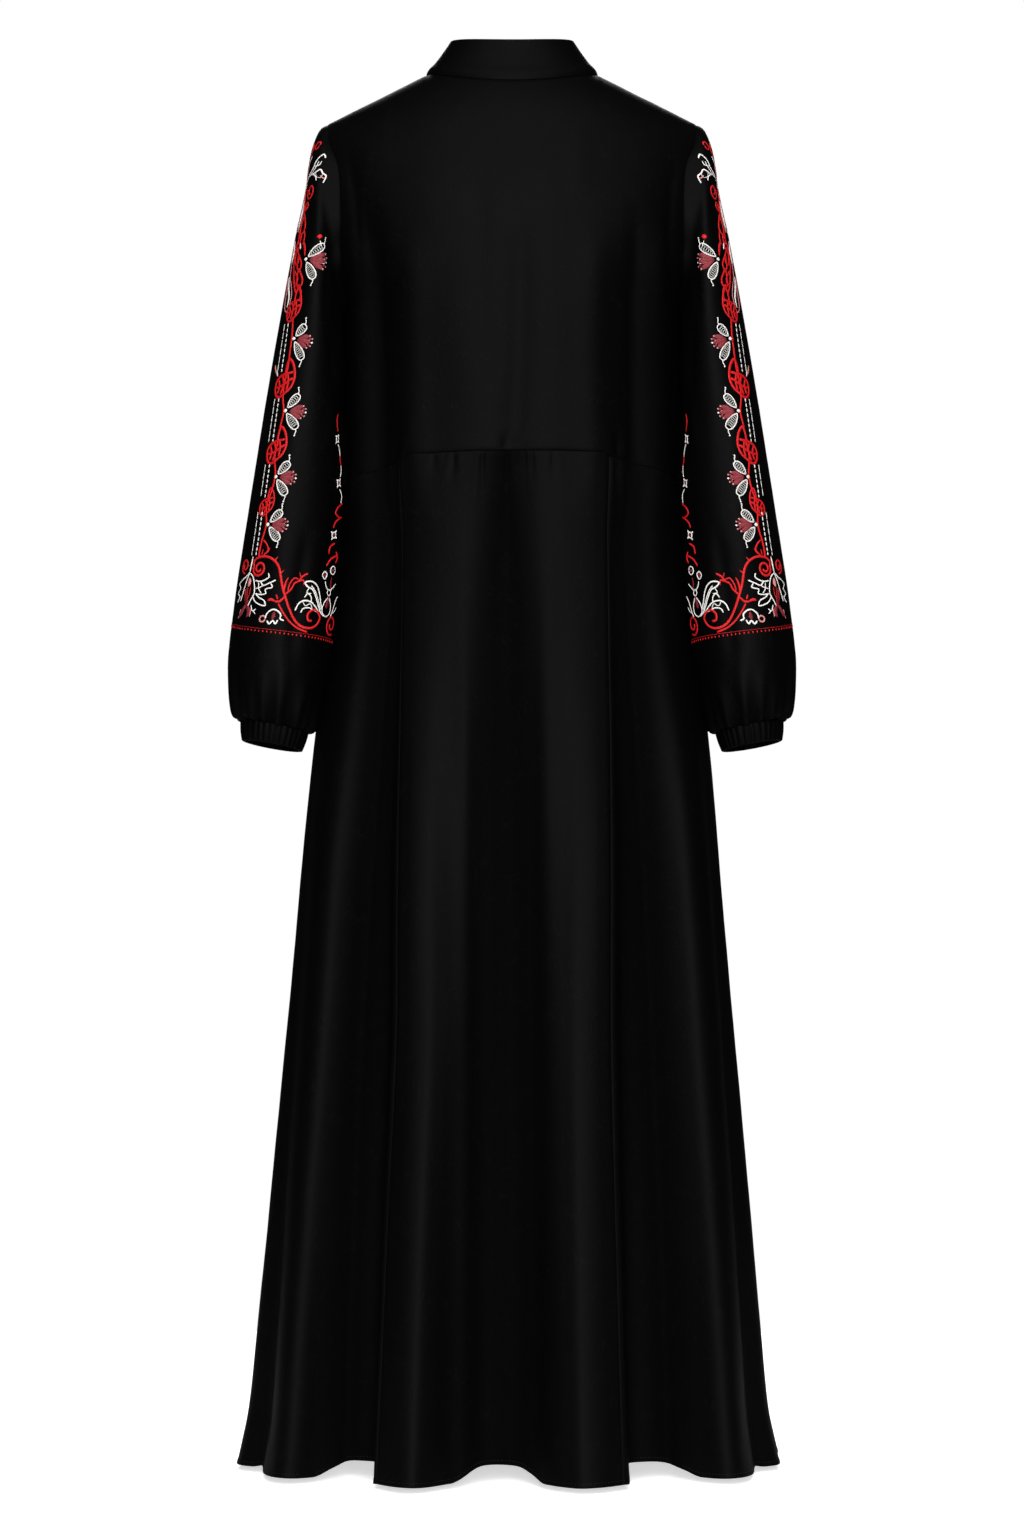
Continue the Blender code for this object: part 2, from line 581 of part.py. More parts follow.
add_collar()
add_bodice()
add_placket()
add_back_skirt()
add_front_skirt()
for hand, sign in (("left", 1.0), ("right", -1.0)):
    add_sleeve("sleeve_" + hand, sign)
    add_cuff("cuff_" + hand, sign)
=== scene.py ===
"""Looks of the embroidered abaya: black crepe in soft folds, and thread embroidery.

Metres, +Z up, the front faces -Y, and the photograph shows the back. Each panel is laid
out on the form of its solid, at a finer grid, with the creases and seams added.
"""
import math
from collections import namedtuple
from itertools import accumulate

import bpy
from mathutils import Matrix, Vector, noise


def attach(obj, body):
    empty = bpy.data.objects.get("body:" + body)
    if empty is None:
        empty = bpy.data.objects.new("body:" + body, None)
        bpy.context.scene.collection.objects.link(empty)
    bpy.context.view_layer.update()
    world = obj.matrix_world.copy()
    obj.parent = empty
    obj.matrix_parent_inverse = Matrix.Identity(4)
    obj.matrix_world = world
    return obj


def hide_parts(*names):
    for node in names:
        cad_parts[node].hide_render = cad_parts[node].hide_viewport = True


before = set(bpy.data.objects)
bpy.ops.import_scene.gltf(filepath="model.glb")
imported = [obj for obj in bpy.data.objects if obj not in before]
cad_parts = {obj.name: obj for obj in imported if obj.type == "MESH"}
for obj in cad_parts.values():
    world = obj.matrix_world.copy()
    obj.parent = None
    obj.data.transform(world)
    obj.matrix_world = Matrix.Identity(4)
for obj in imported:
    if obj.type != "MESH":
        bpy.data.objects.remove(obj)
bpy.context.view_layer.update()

bpy.ops.object.select_all(action="DESELECT")

# Studio
# A pale floor just under the hem, a white room, a large soft light beside the camera, a
# smaller one before the garment's front and one overhead. The camera looks at the back.
CAMERA_PLACE = (0.0, 4.5, -0.691)
CAMERA_LENS = 105.47
FLOOR_Z = -1.386
FLOOR_RADIUS = 1.1
FLOOR_GLOW = 0.6
FLOOR_PAINT = (0.9, 0.9, 0.9, 1.0)
ROOM_LIGHT = 0.05
WHITE_LIGHT = (1.0, 1.0, 1.0, 1.0)
LIGHT_AIM = Vector((0.0, 0.0, -0.65))
Softbox = namedtuple("Softbox", "name place wide tall watts")
SOFTBOXES = (
    Softbox("back_light", place=(-0.1, 3.8, -0.1), wide=1.7, tall=3.0, watts=285.0),
    Softbox("front_light", place=(0.0, -3.6, 1.2), wide=1.6, tall=1.6, watts=100.0),
    Softbox("top_light", place=(0.0, 1.4, 1.9), wide=3.2, tall=1.2, watts=90.0),
)

lens = bpy.data.cameras.new("camera")
lens.lens, lens.sensor_width = CAMERA_LENS, 36.0
lens.clip_start, lens.clip_end = 0.1, 50.0
camera = bpy.data.objects.new("camera", lens)
camera.location = CAMERA_PLACE
camera.rotation_euler = (math.radians(90.0), 0.0, math.radians(180.0))
bpy.context.scene.collection.objects.link(camera)
bpy.context.scene.camera = camera
bpy.context.scene.view_settings.view_transform = "Standard"

for box in SOFTBOXES:
    lamp = bpy.data.lights.new(box.name, "AREA")
    lamp.shape = "RECTANGLE"
    lamp.size, lamp.size_y, lamp.energy = box.wide, box.tall, box.watts
    light = bpy.data.objects.new(box.name, lamp)
    light.location = box.place
    light.rotation_euler = (LIGHT_AIM - Vector(box.place)).to_track_quat("-Z", "Y").to_euler()
    bpy.context.scene.collection.objects.link(light)

room = bpy.data.worlds.new("white_room")
bpy.context.scene.world = room
room.use_nodes = True
air = room.node_tree.nodes["Background"]
seen = room.node_tree.nodes.new("ShaderNodeLightPath")
strength = room.node_tree.nodes.new("ShaderNodeMapRange")
strength.inputs["To Min"].default_value = ROOM_LIGHT
strength.inputs["To Max"].default_value = 1.0
room.node_tree.links.new(seen.outputs["Is Camera Ray"], strength.inputs["Value"])
room.node_tree.links.new(strength.outputs["Result"], air.inputs["Strength"])
air.inputs["Color"].default_value = WHITE_LIGHT

bpy.ops.mesh.primitive_circle_add(
    vertices=96, radius=FLOOR_RADIUS, fill_type="NGON", location=(0.0, 0.0, FLOOR_Z),
)
floor = bpy.context.object
floor.name = "floor"
paint = bpy.data.materials.new("pale_floor")
paint.use_nodes = True
surface = paint.node_tree.nodes["Principled BSDF"].inputs
surface["Base Color"].default_value = FLOOR_PAINT
surface["Roughness"].default_value = 0.9
surface["Emission Color"].default_value = WHITE_LIGHT
glow = paint.node_tree.nodes.new("ShaderNodeMath")
glow.operation = "MULTIPLY"
glow.inputs[1].default_value = FLOOR_GLOW
direct = paint.node_tree.nodes.new("ShaderNodeLightPath")
paint.node_tree.links.new(direct.outputs["Is Camera Ray"], glow.inputs[0])
paint.node_tree.links.new(glow.outputs["Value"], surface["Emission Strength"])
floor.data.materials.append(paint)
floor.select_set(False)

# Back and front bodice
# Black polyester crepe, cut as one back and two fronts and sewn at the shoulders, sides
# and waist. It falls from the shoulder blades in broad soft troughs down to the waist.

# Sections of the body by height: half the width, its flare, and the depths behind and before
Chest = namedtuple("Chest", "z edge flare back front side_y")
CHEST = [Chest(*row) for row in (
    (-0.049, 0.1845, 0.0155, 0.113, 0.120, 0.000),
    (-0.070, 0.1828, 0.0165, 0.113, 0.120, 0.000),
    (-0.099, 0.1735, 0.0225, 0.113, 0.120, 0.000),
    (-0.138, 0.1706, 0.0225, 0.113, 0.120, 0.000),
    (-0.190, 0.1698, 0.0140, 0.112, 0.121, -0.004),
    (-0.232, 0.1688, 0.0000, 0.110, 0.120, -0.013),
    (-0.285, 0.1711, 0.0000, 0.106, 0.115, -0.035),
    (-0.340, 0.1713, 0.0000, 0.102, 0.108, -0.037),
    (-0.398, 0.1712, 0.0000, 0.100, 0.104, -0.036),
)]
BODY_POWER = 2.3
CHEST_LEVEL = -0.160
UNDERARM = -0.232
BACK_CAP_POWER = 2.0
FRONT_CAP_POWER = 1.6
SHOULDER_X = 0.1845
SHOULDER_Z = -0.049
NECK_X = 0.0857
BACK_NECK_DROP = 0.013
FRONT_NECK_DROP = 0.040
WAIST_CENTRE_Z = -0.380
WAIST_SIDE_Z = -0.398
WAIST_X = 0.1712
WAIST_POWER = 2.2
WaistStep = namedtuple("WaistStep", "x rise")
WAIST_STEPS = [WaistStep(*row) for row in (
    (-0.1712, -0.0085), (-0.1525, -0.0066), (-0.1408, -0.0040), (-0.1180, -0.0016),
    (-0.0960, 0.0000), (-0.0895, 0.0030), (-0.0700, 0.0020), (0.0000, 0.0000),
    (0.0800, 0.0012), (0.1037, 0.0026), (0.1118, -0.0034), (0.1300, -0.0045),
    (0.1500, -0.0075), (0.1712, -0.0085),
)]
CLOTH_WALL = 0.0009
HALF_SEAM = 0.00006
SEAM_SINK = 0.0008
SEAM_SINK_REACH = 0.0011
SEAM_ROLL = 0.00016
SEAM_ROLL_PLACE = 0.0042
SEAM_ROLL_REACH = 0.0022
# The grey gives the random tone of the crepe and the painted highlight on its crinkled hairlines.
CREPE_BLACK = (0.0001, 0.0001, 0.0001, 1.0)
CREPE_GREY = (0.0008, 0.0008, 0.0008, 1.0)
CREPE_SHINE = 0.029

# A crease goes out from the body by its depth, along a path of heights and places across.
Crease = namedtuple("Crease", "path depth width")


def creases(*rows):
    """Creases from rows that hold the depth, the width and then the places of the path."""
    return [Crease(path, depth, width) for depth, width, *path in rows]


BACK_CREASES = creases(
    (-0.0100, 0.0125, (-0.11, 0.139), (-0.20, 0.137), (-0.30, 0.134), (-0.56, 0.130)),
    (0.0034, 0.016, (-0.15, 0.099), (-0.30, 0.098), (-0.48, 0.096)),
    (-0.0048, 0.022, (-0.13, -0.008), (-0.26, -0.008), (-0.37, -0.002), (-0.52, 0.004)),
    (-0.0020, 0.020, (-0.08, 0.034), (-0.20, 0.030), (-0.34, 0.022)),
    (-0.0072, 0.0120, (-0.13, -0.122), (-0.25, -0.122), (-0.54, -0.122)),
    (0.0032, 0.016, (-0.14, -0.080), (-0.30, -0.080), (-0.48, -0.084)),
    (0.0045, 0.010, (-0.13, 0.156), (-0.25, 0.155), (-0.52, 0.152)),
    (0.0040, 0.010, (-0.13, -0.148), (-0.25, -0.147), (-0.52, -0.146)),
    (-0.0034, 0.010, (-0.07, 0.168), (-0.13, 0.156), (-0.24, 0.150)),
    (-0.0028, 0.009, (-0.07, -0.168), (-0.13, -0.158), (-0.23, -0.153)),
    (-0.0012, 0.0045, (-0.12, 0.146), (-0.20, 0.143)),
    (0.0011, 0.0045, (-0.14, 0.137), (-0.23, 0.136)),
    (0.0012, 0.012, (-0.06, -0.060), (-0.10, -0.066), (-0.13, -0.068)),
    (0.0008, 0.010, (-0.03, 0.052), (-0.06, 0.050)),
)
FRONT_CREASES = creases(
    (-0.0065, 0.015, (-0.09, 0.128), (-0.20, 0.122), (-0.30, 0.112), (-0.46, 0.100)),
    (-0.0060, 0.014, (-0.10, -0.126), (-0.21, -0.120), (-0.32, -0.110), (-0.46, -0.102)),
    (-0.0050, 0.011, (-0.24, 0.070), (-0.34, 0.064), (-0.46, 0.060)),
    (-0.0055, 0.012, (-0.25, -0.068), (-0.34, -0.060), (-0.46, -0.056)),
    (-0.0026, 0.007, (-0.30, 0.036), (-0.46, 0.030)),
    (-0.0024, 0.007, (-0.29, -0.034), (-0.46, -0.028)),
    (-0.0034, 0.008, (-0.22, 0.150), (-0.30, 0.142), (-0.40, 0.138)),
    (-0.0034, 0.008, (-0.22, -0.150), (-0.30, -0.144), (-0.40, -0.138)),
    (-0.0018, 0.009, (-0.06, 0.100), (-0.12, 0.108), (-0.17, 0.112)),
    (-0.0018, 0.009, (-0.06, -0.100), (-0.12, -0.106), (-0.16, -0.110)),
)

# Small pleats at the waist: above and below are how far each runs from the seam.
Pleat = namedtuple("Pleat", "x depth width above below")
WAIST_PLEATS = [Pleat(*row) for row in (
    (0.1250, 0.0010, 0.0018, 0.006, 0.050),
    (0.1190, 0.0015, 0.0020, 0.020, 0.070),
    (0.1142, 0.0024, 0.0026, 0.034, 0.120),
    (0.0760, 0.0005, 0.0022, 0.000, 0.030),
    (0.0567, 0.0008, 0.0022, 0.000, 0.045),
    (0.0284, 0.0014, 0.0022, 0.004, 0.085),
    (0.0215, 0.0009, 0.0016, 0.000, 0.045),
    (0.0112, 0.0013, 0.0018, 0.006, 0.050),
    (0.0050, 0.0028, 0.0028, 0.022, 0.160),
    (-0.0057, 0.0014, 0.0018, 0.012, 0.060),
    (-0.0124, 0.0016, 0.0022, 0.010, 0.075),
    (-0.0193, 0.0012, 0.0018, 0.000, 0.055),
    (-0.0400, 0.0006, 0.0020, 0.000, 0.040),
    (-0.1035, 0.0026, 0.0026, 0.040, 0.120),
    (-0.1130, 0.0012, 0.0022, 0.008, 0.060),
    (-0.1180, 0.0009, 0.0020, 0.000, 0.050),
)]
PLEAT_STRENGTH = 1.7
PLEAT_SPREAD = 1.6
CREASE_FADE = 0.25
TROUGH_SLOPE = 1.6
TROUGH_TIP = 0.30
DEEP_FOLD = -0.005
WAVE_HEIGHT = 0.0006
RIPPLE_HEIGHT = 0.00016
EDGE_START = 0.994
HOLLOW_DEPTH = 0.012
SIDE_HOLD, SIDE_FADE = 0.17, 0.02
PLACKET_HOLD, PLACKET_FADE = 0.014, 0.012
HANDS = (("left", 1.0), ("right", -1.0))
BODICE_ROWS = 58
CAP_ROWS = 24
BODICE_COLUMNS = 54
EDGE_TURNS = (0.9965, 0.9985, 0.9993, 0.9998, 1.0)


class Shade:
    """A shader socket on which sums and products add Math nodes."""

    def __init__(self, tree, socket=None):
        self.tree = tree
        self.socket = socket

    def node(self, kind, settings=(), inputs=(), output=0):
        """Add a node: its settings first, then the values or links of its sockets."""
        made = self.tree.nodes.new("ShaderNode" + kind)
        for name, value in dict(settings).items():
            setattr(made, name, value)
        for name, value in dict(inputs).items():
            if isinstance(value, Shade):
                self.tree.links.new(value.socket, made.inputs[name])
            else:
                made.inputs[name].default_value = value
        return Shade(self.tree, made.outputs[output])

    def maths(self, operation, first, second):
        """Add a Math node of two values."""
        return self.node("Math", {"operation": operation}, {0: first, 1: second})

    def mottle(self, place, scale, detail, output=0):
        """Soft noise of a scale over the places of a surface."""
        return self.node("TexNoise", {}, {"Vector": place, "Scale": scale, "Detail": detail}, output)

    def blend(self, share, first, second):
        """Colour between two colours, by a share."""
        sockets = {"Factor": share, "A": first, "B": second}
        return self.node("Mix", {"data_type": "RGBA"}, sockets, "Result")

    def into(self, name):
        """Lead the value into a socket of the material's own shader."""
        self.tree.links.new(self.socket, self.tree.nodes["Principled BSDF"].inputs[name])

    def __add__(self, other):
        return self.maths("ADD", self, other)

    def __radd__(self, other):
        return self.maths("ADD", other, self)

    def __sub__(self, other):
        return self.maths("SUBTRACT", self, other)

    def __rsub__(self, other):
        return self.maths("SUBTRACT", other, self)

    def __mul__(self, other):
        return self.maths("MULTIPLY", self, other)

    def __rmul__(self, other):
        return self.maths("MULTIPLY", other, self)


def new_material(name, shine):
    """A material with the shine of its cloth or thread, and the wrap for its nodes."""
    material = bpy.data.materials.new(name)
    material.use_nodes = True
    material.node_tree.nodes["Principled BSDF"].inputs["Specular IOR Level"].default_value = shine
    return material, Shade(material.node_tree)


def crepe(name, grain=1.0):
    """Matt black crepe: fine crinkled hairlines, raised and painted a little lighter as a highlight, over a
    very fine grain, duller in hollows.
    """
    material, cloth = new_material(name, CREPE_SHINE)
    place = cloth.node("TexCoord", output="Object")
    drift = cloth.mottle(place, 55.0, 1.0, "Color")
    bent = cloth.node(
        "VectorMath", {"operation": "MULTIPLY_ADD"}, {0: drift, 1: (0.012, 0.012, 0.012), 2: place},
    )
    lines = cloth.mottle(bent, 120.0, 1.0)
    line = 1.0 - cloth.maths("ABSOLUTE", (lines - 0.5) * 14.0, 0.0)
    breaks = cloth.mottle(place, 70.0, 2.0)
    hair = cloth.maths("MAXIMUM", line, 0.0) * cloth.maths("MAXIMUM", (breaks - 0.46) * 5.0, 0.0)
    hair = cloth.maths("MINIMUM", hair, 1.0)
    fine = cloth.mottle(place, 900.0, 2.0)
    broad = cloth.mottle(place, 9.0, 2.0)
    # Painted highlight: the raised hairlines lead the colour towards the grey; the two noises add random
    # tone.
    share = hair * 0.55 + fine * 0.35 + broad * 0.25
    colour = cloth.blend(share, CREPE_BLACK, CREPE_GREY)
    height = hair * 0.6 + fine * (0.25 * grain)
    bump = cloth.node("Bump", {}, {"Strength": 0.5, "Distance": 0.0004, "Height": height})
    hollow = cloth.node("Attribute", {"attribute_name": "hollow"}, {}, "Fac")
    rough = 0.55 + fine * 0.12 + hollow * 0.33
    colour.into("Base Color")
    rough.into("Roughness")
    bump.into("Normal")
    return material


def curve(stations, values, at):
    """Value on a smooth curve through values at rising stations; values may be vectors."""
    last = len(stations) - 1
    if at <= stations[0]:
        return values[0]
    if at >= stations[last]:
        return values[last]
    index = 0
    while at >= stations[index + 1]:
        index += 1
    below, above = max(index - 1, 0), min(index + 2, last)
    low_slope = (values[index + 1] - values[below]) * (1.0 / (stations[index + 1] - stations[below]))
    high_slope = (values[above] - values[index]) * (1.0 / (stations[above] - stations[index]))
    span = stations[index + 1] - stations[index]
    t = (at - stations[index]) / span
    start = values[index] * (2 * t ** 3 - 3 * t ** 2 + 1) + low_slope * (span * (t ** 3 - 2 * t ** 2 + t))
    return start + values[index + 1] * (3 * t ** 2 - 2 * t ** 3) + high_slope * (span * (t ** 3 - t ** 2))


def lookup(table, column, z):
    """Read a column of a table at height z on a smooth curve through its rows."""
    return curve([-row.z for row in table], [getattr(row, column) for row in table], -z)


def ease(t):
    """Soft step from 0 to 1."""
    t = min(max(t, 0.0), 1.0)
    return t * t * (3.0 - 2.0 * t)


def bell(off):
    """Soft bump, 1 in its middle and fading to both sides."""
    return math.exp(-(off ** 2))


def waist_z(x, back):
    """Height of the waist seam, which dips to the sides and steps at the back seams."""
    z = WAIST_CENTRE_Z + (WAIST_SIDE_Z - WAIST_CENTRE_Z) * (abs(x) / WAIST_X) ** WAIST_POWER
    if back:
        return z + curve([step.x for step in WAIST_STEPS], [step.rise for step in WAIST_STEPS], x)
    return z + WAIST_STEPS[0].rise * (abs(x) / WAIST_X) ** 4.0


def shoulder_z(x):
    """Height of the shoulder line, carried on as an arc over the neck."""
    slope = SHOULDER_Z / (SHOULDER_X - NECK_X)
    if abs(x) >= NECK_X:
        return slope * (abs(x) - NECK_X)
    return -0.5 * slope * NECK_X * (1.0 - (x / NECK_X) ** 2)


def neck_z(x, back):
    """Height of the neckline at the back or the front."""
    drop = BACK_NECK_DROP if back else FRONT_NECK_DROP
    return -drop * (1.0 - min(abs(x) / NECK_X, 1.0) ** 2.0)


def section_depth(table, z, back):
    """Distance from the side seam's line to the back or the front of a body section."""
    side_y = lookup(table, "side_y", z)
    if back:
        return lookup(table, "back", z) - side_y
    return lookup(table, "front", z) + side_y


def bodice_y(x, z, back, gap=0.0):
    """Place of the back or front bodice at x and z, with half a seam's gap at its edges."""
    width = lookup(CHEST, "edge", z) + max(lookup(CHEST, "flare", z), 0.0)
    depth = section_depth(CHEST, z, back)
    ratio = min(abs(x) / width, 1.0)
    depth *= (1.0 - ratio ** BODY_POWER) ** (1.0 / BODY_POWER)
    if z > CHEST_LEVEL:
        power = BACK_CAP_POWER if back else FRONT_CAP_POWER
        reach = min((z - CHEST_LEVEL) / (shoulder_z(x) - CHEST_LEVEL), 1.0)
        depth *= (1.0 - reach ** power) ** (1.0 / power)
    facing = 1.0 if back else -1.0
    return lookup(CHEST, "side_y", z) + facing * (depth + gap)


def bodice_point(across, climb, back):
    """Point of a bodice panel: climb is 0 at the waist, 1 at the chest and 2 at the top."""
    power = BACK_CAP_POWER if back else FRONT_CAP_POWER
    if climb <= 1.0:
        edge_z = WAIST_SIDE_Z + climb * (CHEST_LEVEL - WAIST_SIDE_Z)
        x = across * lookup(CHEST, "edge", edge_z)
        low = waist_z(x, back) + 2.0 * HALF_SEAM
        z = low + climb * (CHEST_LEVEL - low)
    else:
        angle = (climb - 1.0) * math.pi / 2.0
        edge_z = CHEST_LEVEL + (SHOULDER_Z - CHEST_LEVEL) * math.sin(angle) ** (2.0 / power)
        x = across * lookup(CHEST, "edge", edge_z)
        top = 1.0
        if abs(x) < NECK_X:
            top = (neck_z(x, back) - CHEST_LEVEL) / (shoulder_z(x) - CHEST_LEVEL)
        angle *= math.asin(top ** (power / 2.0)) / (math.pi / 2.0)
        z = CHEST_LEVEL + math.sin(angle) ** (2.0 / power) * (shoulder_z(x) - CHEST_LEVEL)
    return Vector((x, bodice_y(x, z, back, HALF_SEAM), z))


def along_crease(crease, z, fade):
    """Place of a crease at height z and its strength there, which fades towards its ends."""
    heights = [-height for height, place in crease.path]
    if not heights[0] < -z < heights[-1]:
        return 0.0, 0.0
    share = (-z - heights[0]) / (heights[-1] - heights[0])
    strength = ease(share / fade) * ease((1.0 - share) / fade)
    return curve(heights, [place for height, place in crease.path], -z), strength


def crease_depth(folds, x, z):
    """How far the creases push the cloth out at a place; troughs are steeper than crests."""
    out = 0.0
    for crease in folds:
        middle, strength = along_crease(crease, z, CREASE_FADE)
        if strength == 0.0:
            continue
        off = (x - middle) / crease.width
        if crease.depth < 0.0:
            off = math.sqrt(TROUGH_SLOPE * (math.hypot(off, TROUGH_TIP) - TROUGH_TIP))
        out += crease.depth * strength * bell(off)
    return out


def pleat_depth(x, drop):
    """How far the waist pleats sink at a place across, a drop below or above the seam."""
    sunk = 0.0
    for pleat in WAIST_PLEATS:
        run = pleat.below if drop >= 0.0 else pleat.above
        if run <= 0.0 or abs(drop) >= run:
            continue
        spread = 1.0 + PLEAT_SPREAD * abs(drop) / run
        fade = (1.0 - abs(drop) / run) ** 1.4 * (0.25 + 0.75 * ease(abs(drop) / 0.008))
        near = (x - pleat.x * (1.0 + 0.10 * max(drop, 0.0) / 0.1)) / (pleat.width * spread)
        sunk += PLEAT_STRENGTH * pleat.depth * fade * (bell(near) - 0.25 * bell(abs(near) - 2.0))
    return sunk


def bodice_creases(x, z, back):
    """Creases of a bodice, which die out at its side edges and under the placket."""
    out = crease_depth(BACK_CREASES if back else FRONT_CREASES, x, z)
    out *= ease((SIDE_HOLD - abs(x)) / SIDE_FADE)
    if back:
        return out - pleat_depth(x, waist_z(x, True) - z)
    return out * ease((abs(x) - PLACKET_HOLD) / PLACKET_FADE)


def hollows(folds, rows):
    """How deep in the hollow of a large fold each point lies; the cloth is duller there."""
    deep = [crease for crease in folds if crease.depth < DEEP_FOLD]
    return [ease(-crease_depth(deep, point.x, point.z) / HOLLOW_DEPTH) for row in rows for point in row]


def unevenness(point):
    """Small soft waves that no two places of a cloth share."""
    wave = noise.noise(Vector((point.x * 22.0, point.y * 22.0, point.z * 9.0)))
    ripple = noise.noise(Vector((point.x * 60.0 + 7.0, point.y * 60.0, point.z * 38.0)))
    return WAVE_HEIGHT * wave + RIPPLE_HEIGHT * ripple


def seam_relief(distance):
    """The groove at a seam and the soft roll of the seam allowance beside it."""
    groove = -SEAM_SINK * math.exp(-distance / SEAM_SINK_REACH)
    return groove + SEAM_ROLL * bell((distance - SEAM_ROLL_PLACE) / SEAM_ROLL_REACH)


def runs(line):
    """Distance of each point of a line from its first, along the line."""
    return list(accumulate((high - low).length for low, high in zip(line[:1] + line, line)))


def lay_out(rows, relief, sewn=(), closed=False):
    """Move each point of a panel along the cloth's normal by its relief and its seams."""
    high, wide = len(rows), len(rows[0])
    along = [runs(row) for row in rows]
    down = [runs(column) for column in zip(*rows)]
    moves = []
    for r in range(high):
        for c in range(wide):
            before = (c - 1) % wide if closed else max(c - 1, 0)
            after = (c + 1) % wide if closed else min(c + 1, wide - 1)
            side = rows[r][after] - rows[r][before]
            fall = rows[min(r + 1, high - 1)][c] - rows[max(r - 1, 0)][c]
            normal = side.cross(fall)
            normal = normal.normalized() if normal.length > 1e-12 else Vector((0.0, 0.0, 0.0))
            out = relief(rows[r][c], r, c)
            for edge, distance in (
                ("start", along[r][c]), ("end", along[r][-1] - along[r][c]),
                ("top", down[c][r]), ("bottom", down[c][-1] - down[c][r]),
            ):
                if edge in sewn:
                    out += seam_relief(distance)
            moves.append((normal, out))
    points = [point for row in rows for point in row]
    hub = sum(points, Vector()) / (high * wide) if closed else Vector()
    facing = sum(
        normal.x * (point.x - hub.x) + normal.y * (point.y - hub.y)
        for point, (normal, out) in zip(points, moves)
    )
    sign = 1.0 if facing > 0.0 else -1.0
    laid = [point + normal * (sign * out) for point, (normal, out) in zip(points, moves)]
    return [laid[r * wide:(r + 1) * wide] for r in range(high)], sign > 0.0


def make_piece(name, points, faces, material):
    """Smooth piece of one material on the root body."""
    mesh = bpy.data.meshes.new(name)
    mesh.from_pydata(points, [], faces)
    mesh.update()
    mesh.shade_smooth()
    mesh.materials.append(material)
    piece = bpy.data.objects.new(name, mesh)
    bpy.context.scene.collection.objects.link(piece)
    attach(piece, "root")
    return piece


def sew_piece(name, rows, outward, material, wall=CLOTH_WALL, closed=False, dull=()):
    """Cloth piece from rows of points, its faces turned outwards, its wall by Solidify."""
    wide = len(rows[0])
    faces = []
    for r in range(len(rows) - 1):
        for c in range(wide if closed else wide - 1):
            right = (c + 1) % wide
            low, high = r * wide, (r + 1) * wide
            face = (low + c, low + right, high + right, high + c)
            faces.append(face if outward else face[::-1])
    piece = make_piece(name, [point for row in rows for point in row], faces, material)
    if dull:
        piece.data.attributes.new("hollow", "FLOAT", "POINT").data.foreach_set("value", dull)
    solidify = piece.modifiers.new("wall", "SOLIDIFY")
    solidify.thickness, solidify.offset = wall, 0.0
    return piece


def bodice_columns():
    """Places across half a bodice, closer together at the side where the body turns."""
    turns = [EDGE_START * i / BODICE_COLUMNS for i in range(BODICE_COLUMNS + 1)] + list(EDGE_TURNS)
    return [math.sin(turn * math.pi / 2.0) for turn in turns]


def bodice_climbs():
    """Rows of a bodice from the waist to the top, closer together at its seams."""
    low = [0.026 + 0.974 * i / BODICE_ROWS for i in range(BODICE_ROWS + 1)]
    high = [1.0 + i / CAP_ROWS for i in range(1, CAP_ROWS)]
    return [0.0, 0.0022, 0.0050, 0.0095, 0.016] + low + high + [1.975, 1.985, 1.992, 1.9965, 2.0]


black_crepe = crepe("black_crepe_cloth")
climbs = bodice_climbs()
half_columns = bodice_columns()
whole_columns = [-place for place in reversed(half_columns[1:])] + half_columns

rows = [[bodice_point(place, climb, True) for place in whole_columns] for climb in climbs]
dull = hollows(BACK_CREASES, rows)
rows, outward = lay_out(
    rows, lambda point, r, c: bodice_creases(point.x, point.z, True) + unevenness(point),
    sewn=("start", "end", "top", "bottom"),
)
back_bodice = sew_piece("back_bodice_cloth", rows, outward, black_crepe, dull=dull)
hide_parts("back_bodice")

for hand, side in HANDS:
    rows = [[bodice_point(side * place, climb, False) for place in half_columns] for climb in climbs]
    for row in rows:
        row[0].x = side * HALF_SEAM
    dull = hollows(FRONT_CREASES, rows)
    rows, outward = lay_out(
        rows, lambda point, r, c: bodice_creases(point.x, point.z, False) + unevenness(point),
        sewn=("end", "top", "bottom"),
    )
    front = sew_piece("front_bodice_" + hand + "_cloth", rows, outward, black_crepe, dull=dull)
    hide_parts("front_bodice_" + hand)

# Front placket
# A plain strip of the same crepe, folded and stitched down over the front opening from
# the neck to the waist. Its edges are topstitched.
PLACKET_WIDTH = 0.028
PLACKET_LIFT = 0.0022
PLACKET_WALL = 0.0016
PLACKET_COLUMNS = 16

lift = Vector((0.0, -PLACKET_LIFT, 0.0))
places = [PLACKET_WIDTH * (i / PLACKET_COLUMNS - 0.5) for i in range(PLACKET_COLUMNS + 1)]
rows = [[bodice_point(place / SHOULDER_X, climb, False) + lift for place in places] for climb in climbs]
placket_rows, outward = lay_out(rows, lambda point, r, c: unevenness(point), sewn=("top", "bottom"))
placket = sew_piece("front_placket_cloth", placket_rows, outward, black_crepe, wall=PLACKET_WALL)
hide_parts("front_placket")

# Stand collar
# Two layers of crepe over a stiffening, standing from the neckline and leaning in. Its
# ends meet at the centre front, and its seam rolls a little over the bodice.
COLLAR_TOP_X = 0.0605
COLLAR_TOP_BACK = 0.050
COLLAR_TOP_FRONT = 0.056
COLLAR_BACK_HEIGHT = 0.0424
COLLAR_SIDE_HEIGHT = 0.0345
COLLAR_FRONT_HEIGHT = 0.0400
COLLAR_SEAM = 0.0002
COLLAR_CURL = -0.0008
COLLAR_WALL = 0.0022
COLLAR_EDGE = 0.0008
COLLAR_LEVELS = (
    0.0, 0.02, 0.05, 0.09, 0.14, 0.20, 0.28, 0.36, 0.45, 0.54, 0.63, 0.72, 0.80, 0.87, 0.93, 0.97, 1.0,
)
COLLAR_COLUMNS = 34
COLLAR_ROLL = 0.0011
COLLAR_SINK = 0.0009

